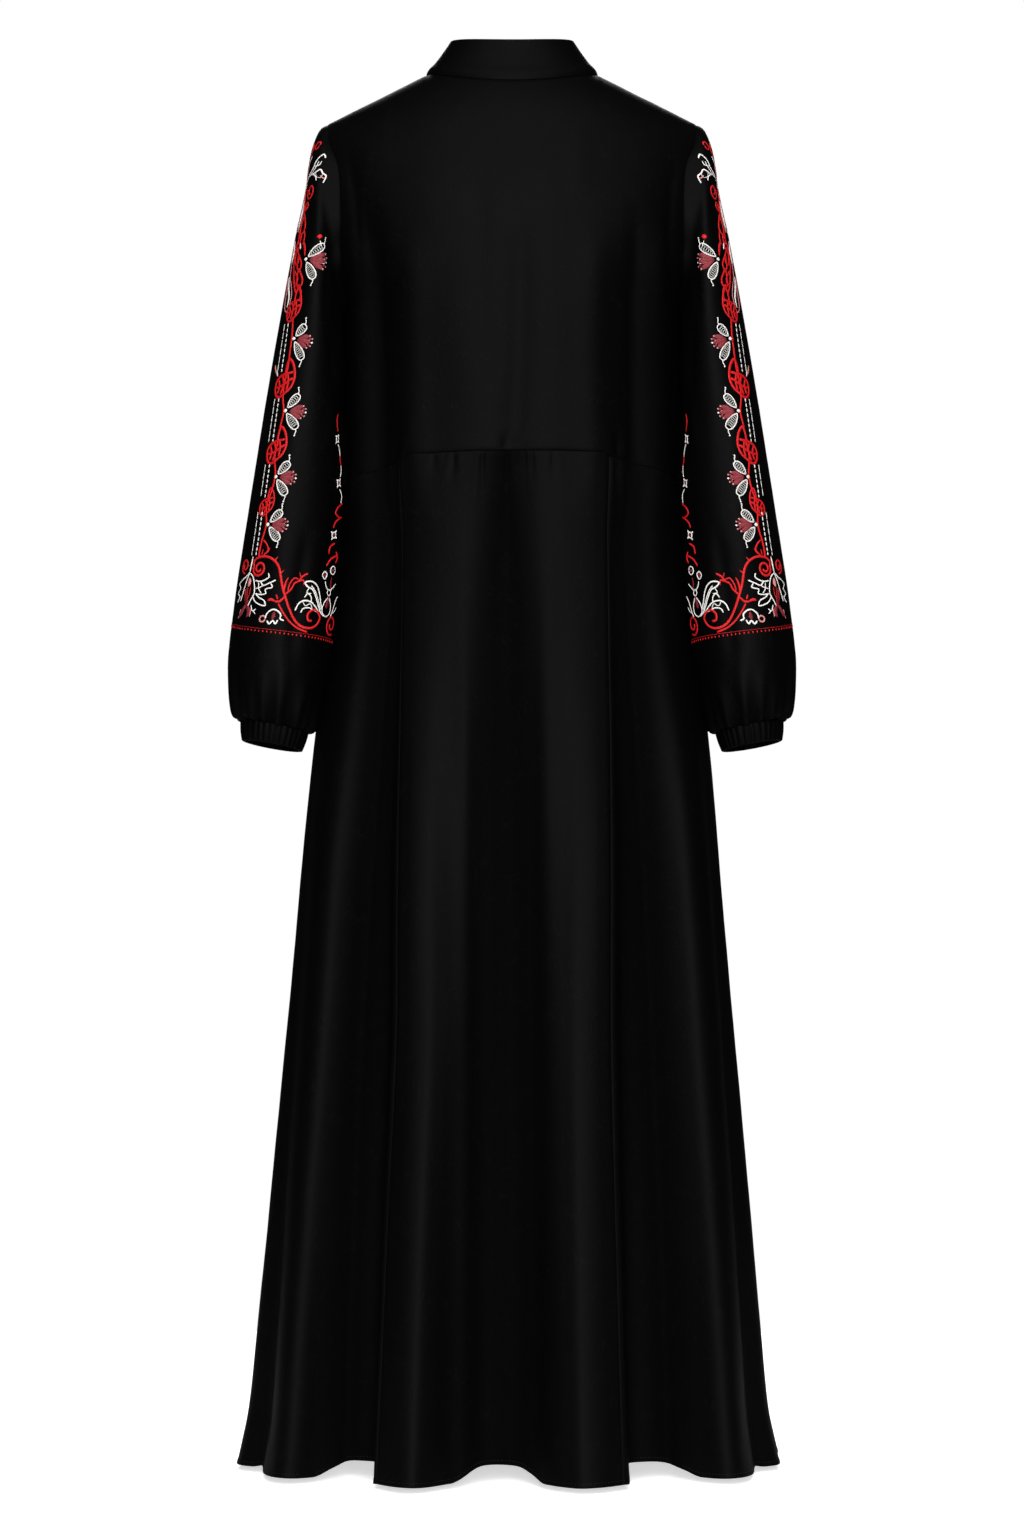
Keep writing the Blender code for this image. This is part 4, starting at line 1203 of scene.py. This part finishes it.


# A path on the sleeve is a row of places in mm: from the outer line towards the back
# seam, and down from the shoulder. A stroke is one line of stitches of one thread.
# Each thread has its colour and a darker one, which gives the painted shade in the grooves between its
# stitches and its random patches.
Thread = namedtuple("Thread", "name colour deeper slot")
RED = Thread("red", (0.46, 0.004, 0.006, 1.0), (0.24, 0.002, 0.003, 1.0), "red_thread")
DARK = Thread("dark_red", (0.13, 0.003, 0.008, 1.0), (0.07, 0.002, 0.005, 1.0), "red_thread")
ROSE = Thread("rose", (0.15, 0.016, 0.021, 1.0), (0.10, 0.008, 0.013, 1.0), "rose_thread")
BLUSH = Thread("blush", (0.48, 0.20, 0.19, 1.0), (0.28, 0.08, 0.09, 1.0), "rose_thread")
WHITE = Thread("white", (0.66, 0.64, 0.61, 1.0), (0.32, 0.31, 0.30, 1.0), "white_thread")
THREAD_BASE = 0.30
THREAD_SHINE = 0.20
Stitches = namedtuple("Stitches", "points faces marks")
stitches = {thread: Stitches(points=[], faces=[], marks=[]) for thread in (RED, DARK, ROSE, BLUSH, WHITE)}
NARROW_SECTION = ((-0.5, 0.0), (0.0, 1.0), (0.5, 0.0))
WIDE_SECTION = ((-0.5, 0.0), (-0.34, 0.75), (0.0, 1.0), (0.34, 0.75), (0.5, 0.0))


def satin(thread, path, width):
    """Lay a raised ribbon of stitches along a path, on the back half and again on the front."""
    knots = [Vector(place) for place in path]
    widths = list(width) if isinstance(width, tuple) else [width] * len(knots)
    stations = [0.0]
    for low, high in zip(knots, knots[1:]):
        stations.append(stations[-1] + (high - low).length)
    length = stations[-1]
    steps = max(int(length / min(max(0.45 * max(widths), 0.8), 1.5)), 3)
    middles = [curve(stations, knots, length * i / steps) for i in range(steps + 1)]
    section = WIDE_SECTION if max(widths) > 0.9 else NARROW_SECTION
    store = stitches[thread]
    for half in (1.0, -1.0):
        first = len(store.points)
        for i, middle in enumerate(middles):
            run = length * i / steps
            broad = curve(stations, widths, run)
            near = min(min(run, length - run) / (0.5 * broad), 1.0)
            rounding = math.sqrt(max(1.0 - (1.0 - near) ** 2, 0.08))
            ahead = (middles[min(i + 1, steps)] - middles[max(i - 1, 0)]).normalized()
            side = Vector((-ahead.y, ahead.x)) * broad * rounding
            crown = (0.34 + 0.11 * min(broad, 4.0)) * (0.4 + 0.6 * rounding)
            across, drop = half * middle.x, middle.y
            around = on_sleeve(across + 1.0, drop) - on_sleeve(across - 1.0, drop)
            down = on_sleeve(across, drop + 1.5) - on_sleeve(across, drop - 1.5)
            normal = down.cross(around).normalized()
            for reach, rise in section:
                place = on_sleeve(half * (middle.x + reach * side.x), drop + reach * side.y)
                store.points.append(place + normal * (0.001 * (THREAD_BASE + rise * crown)))
                store.marks.append((run, reach * broad))
        wide = len(section)
        faces = []
        for i in range(steps):
            low, high = first + i * wide, first + (i + 1) * wide
            for k in range(wide):
                faces.append((low + k, low + (k + 1) % wide, high + (k + 1) % wide, high + k))
        faces.append(tuple(first + k for k in reversed(range(wide))))
        faces.append(tuple(first + steps * wide + k for k in range(wide)))
        store.faces.extend(faces if half > 0.0 else [face[::-1] for face in faces])


def placed(path, across, drop, turn=0.0, size=1.0):
    """Move a path drawn round its own origin to a place, turned from towards the back."""
    sine, cosine = size * math.sin(math.radians(turn)), size * math.cos(math.radians(turn))
    return [(across + u * cosine - v * sine, drop + u * sine + v * cosine) for u, v in path]


def ring(thread, across, drop, radius, width):
    """Small closed ring of stitches."""
    turns = [step * math.pi / 4.0 for step in range(9)]
    path = [(radius * math.cos(turn), radius * math.sin(turn)) for turn in turns]
    satin(thread, placed(path, across, drop), width)


def dot(thread, across, drop, radius):
    """Small round knot of stitches."""
    satin(thread, [(across - radius, drop), (across, drop), (across + radius, drop)], 2.0 * radius)


def spiral(thread, across, drop, radius, start, turns, width):
    """Curl that winds in from a start direction in degrees; turns may be negative."""
    count = int(abs(turns) * 10)
    path = []
    for i in range(count + 1):
        angle = math.radians(start + 360.0 * turns * i / count)
        reach = radius * (1.0 - 0.72 * i / count)
        path.append((across + reach * math.cos(angle), drop + reach * math.sin(angle)))
    satin(thread, path, width)


def lattice_leaf(across, drop, turn, length, width, prong):
    """Leaf outlined in white, filled with crossing threads, with a hooked prong at its tip."""
    shape = ((0.0, 0.0), (0.22, 0.30), (0.50, 0.48), (0.80, 0.46), (0.97, 0.26), (1.0, 0.0))
    edge = [(length * u, width * v) for u, v in shape]
    edge += [(u, -v) for u, v in reversed(edge[:-1])]
    satin(WHITE, placed(edge, across, drop, turn), 1.3)
    reaches, halves = zip(*shape)
    u = 2.6
    while u < length - 2.0:
        for lean in (1.9, -1.9):
            start, end = u - 0.5 * lean, u + 0.5 * lean
            low, high = (width * curve(reaches, halves, at / length) for at in (start, end))
            satin(WHITE, placed([(start, -low), (end, high)], across, drop, turn), 0.5)
        u += 2.2
    reach = width * prong
    hook = [(length - 0.5, 0.10 * reach), (length + 2.2, 0.30 * reach), (length + 3.6, 0.62 * reach)]
    satin(WHITE, placed(hook, across, drop, turn), (1.3, 1.1, 1.5))
    satin(WHITE, placed([hook[2], (hook[2][0] + 1.6, hook[2][1] + 0.6 * prong)], across, drop, turn), 2.2)


def tulip(across, drop, turn, size):
    """Dusty rose flower of three petals, with light stamens round a white ring."""
    def lay(thread, path, width):
        satin(thread, placed(path, across, drop, turn, size), width)

    for side in (-1.0, 1.0):
        petal = [(0.6, side * 0.3), (5.5, side * 2.6), (10.0, side * 4.7), (13.6, side * 5.0)]
        lay(ROSE, petal, (1.2, 4.4, 5.6, 3.4))
        lay(BLUSH, [(3.0, side * 1.7), (8.0, side * 4.6), (12.4, side * 7.0)], 0.6)
        lay(BLUSH, [(4.0, side * 0.8), (9.0, side * 2.0), (13.0, side * 2.3)], 0.5)
        lay(BLUSH, [(13.0, side * 5.7), (14.8, side * 6.7)], 2.6)
        lay(ROSE, [(13.5, side * 3.0), (16.4, side * 3.6)], 2.6)
        lay(BLUSH, [(16.2, side * 3.5), (17.9, side * 4.0)], 2.3)
    lay(ROSE, [(0.6, 0.0), (6.0, 0.0), (11.0, 0.0), (16.6, 0.0)], (1.4, 4.4, 5.8, 3.6))
    lay(WHITE, [(16.6, 0.0), (18.8, 0.0)], 2.3)
    at, down = placed([(13.4, 0.0)], across, drop, turn, size)[0]
    ring(WHITE, at, down, 1.8 * size, 1.2)


# Each bud on the stem: a white knot, two lattice leaves and a tulip
Bud = namedtuple("Bud", "across drop up_turn up down_turn down tulip_turn tulip")
BUDS = [Bud(*row) for row in (
    (60, 190, -38, 22.0, 56, 23.0, 7, 1.22),
    (58, 268, -43, 17.5, 58, 24.0, 13, 0.95),
    (60, 339, -51, 19.0, 50, 22.5, 6, 0.96),
    (59, 404, -46, 18.5, 52, 22.0, 5, 0.96),
    (57, 451, -42, 18.5, 46, 21.0, 3, 0.98),
)]
for bud in BUDS:
    satin(WHITE, [(bud.across - 2.0, bud.drop), (bud.across + 2.2, bud.drop)], 4.2)
    root = [(3.4, 0.0)]
    for turn, length, prong in ((bud.up_turn, bud.up, -1.0), (bud.down_turn, bud.down, 1.0)):
        across, drop = placed(root, bud.across, bud.drop, turn)[0]
        lattice_leaf(across, drop, turn, length - 2.6, 8.3, prong)
    across, drop = placed([(4.6, 0.0)], bud.across, bud.drop, bud.tulip_turn)[0]
    tulip(across, drop, bud.tulip_turn, bud.tulip)
satin(WHITE, [(75, 178), (72, 172)], 1.0)
dot(RED, 71, 168, 2.6)
dot(BLUSH, 71, 168, 1.2)

# The red stem beside the buds, and the openwork knots that it ties between them
satin(RED, [(53, 246), (55, 262), (55, 280), (55, 296), (53, 312), (54, 326), (58, 340), (56, 356)], 2.4)
satin(RED, [(56, 356), (55, 372), (54, 384), (58, 402), (56, 418), (52, 430), (53, 440), (55, 452), (52, 468),
            (51, 483)], 2.4)
KNOT = (
    ((0, 2), (-1, -8), (2, -18), (7, -14), (10, -7), (11, 2), (8, 10), (2, 15), (-5, 19), (-11, 18),
     (-15, 12), (-15, 5), (-11, 0), (-4, -3), (3, -4), (9, -5)),
    ((-11, 1), (-8, 8), (-10, 16)),
    ((-5, -2), (-2, 6), (-5, 17)),
    ((2, -4), (4, 4), (3, 13)),
    ((-14, 9), (-8, 9), (0, 6), (5, 3), (10, 1)),
)
for across, drop, size in ((53, 234, 0.86), (54, 306, 1.0), (56, 372, 0.96), (53, 428, 0.72)):
    for path in KNOT:
        satin(RED, placed(path, across, drop, 0.0, size), 3.0 * size)

# Two rows of white stitches beside the stem: the left runs on, the right is broken. Each
# stretch has its top and low end and the places of its two rows.
STITCHED_ROWS = ((252, 300, 38, 46), (326, 369, 41, 48), (391, 424, 41, 48), (438, 481, 40, 47))
for low, high, left, right in STITCHED_ROWS:
    drop = low
    while drop < high - 2.0:
        satin(WHITE, [(left, drop), (left, min(drop + 7.4, high))], 1.0)
        drop += 7.9
    drop = low
    while drop < high - 2.0:
        satin(WHITE, [(right, drop), (right, min(drop + 3.9, high))], 1.7)
        drop += 5.0
satin(BLUSH, [(29, 292), (33, 298), (40, 304)], (1.2, 3.0, 1.2))
satin(WHITE, [(37, 298), (40, 304)], 1.0)

# Strokes: the thread, the width or the widths along it, and the places of the path
SHOULDER_SPRAY = (
    (RED, 2.6, (22, 70), (26, 77), (21, 84)),
    (DARK, 2.8, (26, 80), (23, 90)),
    (WHITE, 1.4, (31, 84), (26, 90)),
    (BLUSH, 1.6, (21, 86), (24, 94), (20, 104), (23, 112)),
    (DARK, 2.0, (18, 92), (16, 104)),
    (WHITE, 1.6, (22, 110), (30, 106), (37, 102), (43, 97), (45, 91), (50, 84), (54, 88)),
    (WHITE, 1.2, (38, 104), (44, 101), (48, 96), (49, 91)),
    (WHITE, 1.2, (45, 96), (51, 95), (52, 91)),
    (WHITE, 1.6, (30, 106), (40, 104), (48, 103), (54, 100), (58, 104), (62, 107), (61, 114)),
    (WHITE, 1.5, (46, 104), (51, 107), (53, 111)),
    (WHITE, 0.8, (50, 103), (52, 107), (57, 108), (58, 104)),
    (BLUSH, 1.3, (56, 106), (60, 109), (63, 108)),
    (WHITE, 1.3, (24, 112), (23, 120), (22, 128)),
)
UPPER_VINE = (
    (RED, 2.4, (20, 106), (24, 118), (29, 128), (35, 137), (38, 146)),
    (RED, 2.3, (35, 150), (36, 164), (40, 174)),
    (RED, 2.6, (33, 176), (35, 190), (41, 204), (47, 216), (53, 224)),
    (RED, 2.6, (54, 214), (60, 222), (60, 232)),
    (RED, (1.2, 3.4, 1.0), (50, 170), (55, 178), (58, 187)),
    (RED, (1.0, 2.4, 1.0), (48, 160), (51, 168), (50, 175)),
    (BLUSH, 1.3, (24, 122), (31, 134), (32, 147), (28, 160), (22, 150), (20, 137), (24, 122)),
    (WHITE, (1.6, 4.6, 1.6), (25, 128), (27, 142), (26, 156)),
    (WHITE, 1.8, (14, 146), (12, 154), (17, 160)),
    (WHITE, (1.0, 2.4), (44, 172), (47, 179)),
    (WHITE, (1.6, 4.2, 1.8), (22, 168), (28, 180), (27, 192)),
    (BLUSH, 1.4, (16, 166), (21, 178), (22, 190)),
    (BLUSH, 1.5, (27, 190), (31, 204), (40, 216), (44, 226), (38, 240), (30, 236), (27, 220), (22, 206)),
    (WHITE, (1.6, 4.2, 3.6, 1.4), (26, 204), (32, 216), (38, 226), (37, 236)),
    (DARK, (1.6, 3.4, 1.6), (16, 196), (20, 214), (24, 232)),
)
HEM_BORDER = (
    (RED, 2.7, (47, 494), (46, 487), (52, 483), (63, 483), (71, 487), (76, 493), (79, 502), (82, 512),
     (86, 522), (91, 533), (98, 544), (106, 551), (116, 553), (124, 550), (128, 543), (124, 537),
     (117, 535), (112, 539), (113, 545), (118, 546)),
    (RED, 2.0, (80, 529), (86, 538), (93, 546), (103, 553), (114, 557)),
    (RED, (2.2, 0.8), (71, 487), (74, 483)),
    (RED, (2.2, 0.8), (78, 500), (82, 496)),
    (RED, (2.4, 2.2, 0.8), (84, 517), (85, 508), (87, 503)),
    (RED, 2.2, (86, 520), (91, 515), (94, 509), (98, 507), (102, 502), (107, 499)),
    (RED, 1.8, (88, 517), (89, 510), (93, 504), (98, 505)),
    (RED, (2.0, 1.8, 0.8), (98, 507), (103, 506), (104, 511)),
    (RED, (1.8, 0.8), (100, 503), (98, 498)),
    (RED, (2.2, 2.6, 2.4), (86, 522), (81, 527), (76, 527)),
    (RED, (2.0, 3.2, 3.4), (77, 527), (72, 525), (69, 526)),
    (RED, (2.0, 1.6), (79, 525), (77, 520)),
    (RED, 2.2, (52, 468), (51, 476), (52, 483)),
    (RED, 2.0, (54, 466), (59, 470), (62, 476), (57, 482)),
    (RED, (1.8, 1.4, 0.8), (58, 480), (62, 478), (64, 474)),
    (RED, (1.6, 0.8), (55, 481), (56, 475)),
    (WHITE, (1.2, 2.2, 1.4), (43, 482), (42, 490), (41, 498)),
    (WHITE, 1.6, (41, 498), (35, 502), (28, 505), (21, 509)),
    (WHITE, 1.6, (41, 498), (47, 502), (51, 511), (52, 519), (48, 526), (45, 532)),
    (WHITE, 1.5, (41, 498), (37, 508), (34, 518), (31, 526)),
    (WHITE, 1.5, (22, 509), (27, 513), (22, 518), (28, 522), (23, 527)),
    (BLUSH, (2.6, 5.2, 2.4), (43, 503), (43, 508), (42, 512)),
    (DARK, (3.0, 4.8, 5.6), (41, 512), (41, 520), (43, 531)),
    (RED, 1.0, (38, 514), (40, 526), (45, 521), (46, 512)),
    (ROSE, (3.0, 5.2, 2.4), (42, 530), (36, 537), (32, 542)),
    (ROSE, (3.0, 5.6, 2.6), (44, 530), (48, 537), (46, 542)),
    (BLUSH, 1.2, (34, 534), (31, 543)),
    (BLUSH, 1.2, (51, 533), (50, 542)),
    (WHITE, 1.3, (50, 530), (53, 536), (57, 534)),
    (WHITE, 1.3, (54, 536), (57, 539)),
    (WHITE, 1.6, (51, 506), (57, 507), (62, 506), (67, 503), (66, 499)),
    (WHITE, 1.6, (58, 507), (62, 511), (68, 509), (75, 506)),
    (WHITE, 1.3, (53, 514), (58, 513), (62, 511)),
    (WHITE, 1.5, (53, 519), (60, 520), (66, 519), (65, 515), (72, 513), (70, 509)),
    (WHITE, 1.1, (56, 508), (57, 514), (61, 519)),
    (WHITE, 1.5, (50, 521), (55, 527), (61, 530), (67, 531), (65, 526), (59, 523), (54, 519)),
    (WHITE, 1.7, (69, 544), (70, 539), (75, 535), (80, 536), (84, 540), (84, 544), (88, 546)),
    (DARK, (2.0, 4.6, 3.0), (77, 537), (77, 541), (76, 545)),
    (BLUSH, 1.4, (75, 541), (79, 542)),
    (WHITE, 1.9, (71, 546), (74, 549), (77, 546), (80, 549), (82, 545)),
    (DARK, (2.2, 4.2, 4.8), (139, 520), (138, 527), (136, 533)),
    (WHITE, 1.5, (138, 522), (132, 528), (130, 536), (136, 541), (143, 538), (144, 530), (140, 522)),
    (WHITE, 1.2, (139, 521), (136, 517), (139, 514), (142, 518), (139, 521)),
    (WHITE, 1.4, (137, 515), (133, 510), (132, 506)),
    (WHITE, 1.4, (141, 515), (147, 511), (151, 508)),
    (WHITE, 1.7, (134, 541), (128, 537), (124, 531), (119, 522), (114, 515), (108, 512), (105, 508),
     (112, 507), (119, 511), (124, 519), (127, 528), (130, 535)),
    (WHITE, 1.2, (128, 535), (122, 524), (117, 516), (112, 511)),
    (WHITE, 1.2, (110, 513), (108, 518), (113, 519)),
    (WHITE, 1.7, (126, 538), (119, 531), (113, 527), (106, 526), (101, 529), (98, 536)),
    (WHITE, 1.5, (124, 537), (117, 535), (112, 533), (106, 534), (104, 538)),
    (WHITE, 1.4, (114, 528), (113, 522), (109, 519), (106, 523)),
    (WHITE, 1.0, (105, 527), (108, 531), (113, 529), (116, 534)),
    (WHITE, 1.5, (146, 541), (150, 534), (154, 526), (160, 520)),
    (WHITE, 1.3, (147, 538), (153, 536), (159, 531)),
    (DARK, 2.0, (142, 502), (141, 508), (142, 513)),
    (WHITE, 1.6, (130, 496), (134, 499), (131, 504), (126, 500), (130, 496)),
)
SEAM_GARLAND = (
    (RED, (1.4, 2.8, 1.2), (130, 340), (127, 349), (130, 358)),
    (WHITE, (1.4, 2.6, 1.2), (131, 370), (137, 375), (141, 382)),
    (RED, (1.2, 2.6, 1.2), (140, 378), (143, 386), (148, 392)),
    (WHITE, 1.6, (146, 390), (147, 397), (145, 402)),
    (WHITE, 1.6, (144, 414), (149, 420), (148, 428)),
    (RED, 2.2, (152, 428), (143, 432), (139, 438), (145, 442), (152, 442)),
    (RED, 2.2, (149, 442), (140, 447), (137, 453)),
    (RED, 2.2, (142, 468), (135, 472), (134, 479)),
    (RED, 2.4, (147, 480), (138, 484), (132, 491)),
    (RED, (1.4, 3.4, 1.4), (145, 476), (149, 482), (146, 488)),
)
RED_LEAVES = (
    (36, 141, -48, 11.0, 6.0), (39, 143, 78, 21.0, 11.0), (43, 163, 108, 18.0, 8.5), (36, 176, 62, 20.0, 9.0),
    (45, 184, 66, 17.0, 8.0), (41, 200, 58, 16.0, 8.0), (50, 198, 70, 20.0, 10.0),
)
LEAF_HALF = ((0.0, 0.0), (0.35, 0.30), (0.70, 0.50), (0.94, 0.34), (1.0, 0.0))
for across, drop, turn, length, wide in RED_LEAVES:
    edge = [(length * u, wide * v) for u, v in LEAF_HALF]
    edge += [(u, -v) for u, v in reversed(edge[:-1])]
    satin(RED, placed(edge, across, drop, turn), 2.6)
for thread, width, *path in SHOULDER_SPRAY + UPPER_VINE + HEM_BORDER + SEAM_GARLAND:
    satin(thread, path, width)
spiral(RED, 45, 121, 9.0, 200, -1.35, 2.3)
ring(RED, 35, 74, 3.8, 1.9)
spiral(RED, 54, 494, 8.2, 190, -1.5, 2.7)
spiral(RED, 31, 491, 7.6, 80, 1.4, 2.5)
spiral(RED, 150, 549, 10.5, 60, 1.4, 2.5)
ring(BLUSH, 66, 544, 3.0, 1.8)
ring(WHITE, 143, 495, 4.0, 1.5)
dot(DARK, 130, 500, 2.2)
dot(ROSE, 143, 495, 1.8)

# Small white flowers of the garland by the underarm seam
for across, drop in ((129, 365), (142, 408), (139, 460)):
    ring(WHITE, across, drop, 2.9, 1.6)
    dot(ROSE, across, drop, 1.3)
    for turn in (30, 120, 210, 300):
        satin(WHITE, placed([(3.4, 0.0), (6.0, 0.6)], across, drop, turn), (2.8, 1.6))

# A row of tiny red hearts under a thin line, all round the sleeve above the puff
across = 2.2
while across < 164.0:
    drop = 547.9 + 0.108 * across
    satin(RED, [(across, drop), (across + 0.2, drop + 2.1)], (2.6, 0.8))
    across += 4.4
satin(RED, [(across, 546.4 + 0.108 * across) for across in range(0, 166, 6)], 0.6)


def thread_material(thread):
    """Glossy thread: fine stitches across each ribbon, with painted shade in the grooves between them and
    random lighter and darker patches.
    """
    material, silk = new_material(thread.name + "_thread_stitches", THREAD_SHINE)
    mark = silk.node("UVMap", {"uv_map": "stitches"})
    run = silk.node("SeparateXYZ", {}, {"Vector": mark}, "X")
    reach = silk.node("SeparateXYZ", {}, {"Vector": mark}, "Y")
    stripe = silk.maths("SINE", run * 15.0 + reach * 2.2, 0.0) * 0.5 + 0.5
    place = silk.node("TexCoord", output="Object")
    patch = silk.mottle(place, 420.0, 1.0)
    # Painted shade: where the stripe is low, in the grooves between the stitches, the colour goes towards the
    # darker one; the patches add random tone.
    share = silk.maths("MINIMUM", (1.0 - stripe) * 0.45 + patch * 0.45, 1.0)
    colour = silk.blend(share, thread.colour, thread.deeper)
    bump = silk.node("Bump", {}, {"Strength": 0.5, "Distance": 0.0002, "Height": stripe})
    rough = 0.40 + patch * 0.15
    colour.into("Base Color")
    rough.into("Roughness")
    bump.into("Normal")
    return material


for thread, store in stitches.items():
    material = thread_material(thread)
    for hand, side in HANDS:
        name = "sleeve_" + hand + "_" + thread.name + "_embroidery"
        points = [(side * point.x, point.y, point.z) for point in store.points]
        faces = store.faces if side > 0.0 else [face[::-1] for face in store.faces]
        piece = make_piece(name, points, faces, material)
        marks = piece.data.uv_layers.new(name="stitches")
        flat = [value for loop in piece.data.loops for value in store.marks[loop.vertex_index]]
        marks.data.foreach_set("uv", flat)


# Stitching
# Machine stitching in black polyester thread: one row that holds the folded hem, and one
# row along each side of the placket.
STITCH = 0.0028
STITCH_GAP = 0.0009
STITCH_HALF = 0.00028
STITCH_LIFT = 0.00055
STITCH_RISE = 0.00028
THREAD_BLACK = (0.003, 0.003, 0.003, 1.0)
THREAD_GREY = (0.010, 0.010, 0.011, 1.0)


def stitch_line(row, beside, outward):
    """Cut a line on the cloth into raised stitches; beside is the next line of the cloth."""
    points, faces = [], []
    run, start = 0.0, None
    for low, high, low_beside in zip(row, row[1:], beside):
        length = (high - low).length
        normal = (high - low).cross(low_beside - low).normalized()
        if normal.dot(outward(low)) < 0.0:
            normal = -normal
        lift = normal * STITCH_LIFT
        while length > 0.0:
            due = STITCH if start is not None else STITCH_GAP
            if run + length < due:
                run += length
                break
            share = (due - run) / length
            low, length, run = low.lerp(high, share), length * (1.0 - share), 0.0
            if start is None:
                start = low + lift
                continue
            end = low + lift
            side = normal.cross(end - start).normalized() * STITCH_HALF
            middle = 0.5 * (start + end)
            first = len(points)
            points.extend([start, end, middle - side, middle + side, middle + normal * STITCH_RISE])
            faces.extend([
                tuple(first + corner for corner in face)
                for face in ((0, 2, 4), (0, 4, 3), (1, 4, 2), (1, 3, 4), (0, 3, 1, 2))
            ])
            start = None
    return points, faces


black_thread, spun = new_material("black_polyester_thread", THREAD_SHINE)
patch = spun.mottle(spun.node("TexCoord", output="Object"), 300.0, 1.0)
spun.blend(patch, THREAD_BLACK, THREAD_GREY).into("Base Color")
black_thread.node_tree.nodes["Principled BSDF"].inputs["Roughness"].default_value = 0.45

hem_lines = [(rows[3], rows[2], lambda point: Vector((point.x, point.y, 0.0))) for rows in hems.values()]
placket_lines = [
    (
        [row[c] for row in placket_rows], [row[c + 1] for row in placket_rows],
        lambda point: Vector((0.0, -1.0, 0.0)),
    )
    for c in (1, PLACKET_COLUMNS - 1)
]
for name, lines in (("hem_stitching", hem_lines), ("placket_stitching", placket_lines)):
    points, faces = [], []
    for row, beside, outward in lines:
        more_points, more_faces = stitch_line(row, beside, outward)
        faces.extend([tuple(len(points) + corner for corner in face) for face in more_faces])
        points.extend(more_points)
    piece = make_piece(name, points, faces, black_thread)
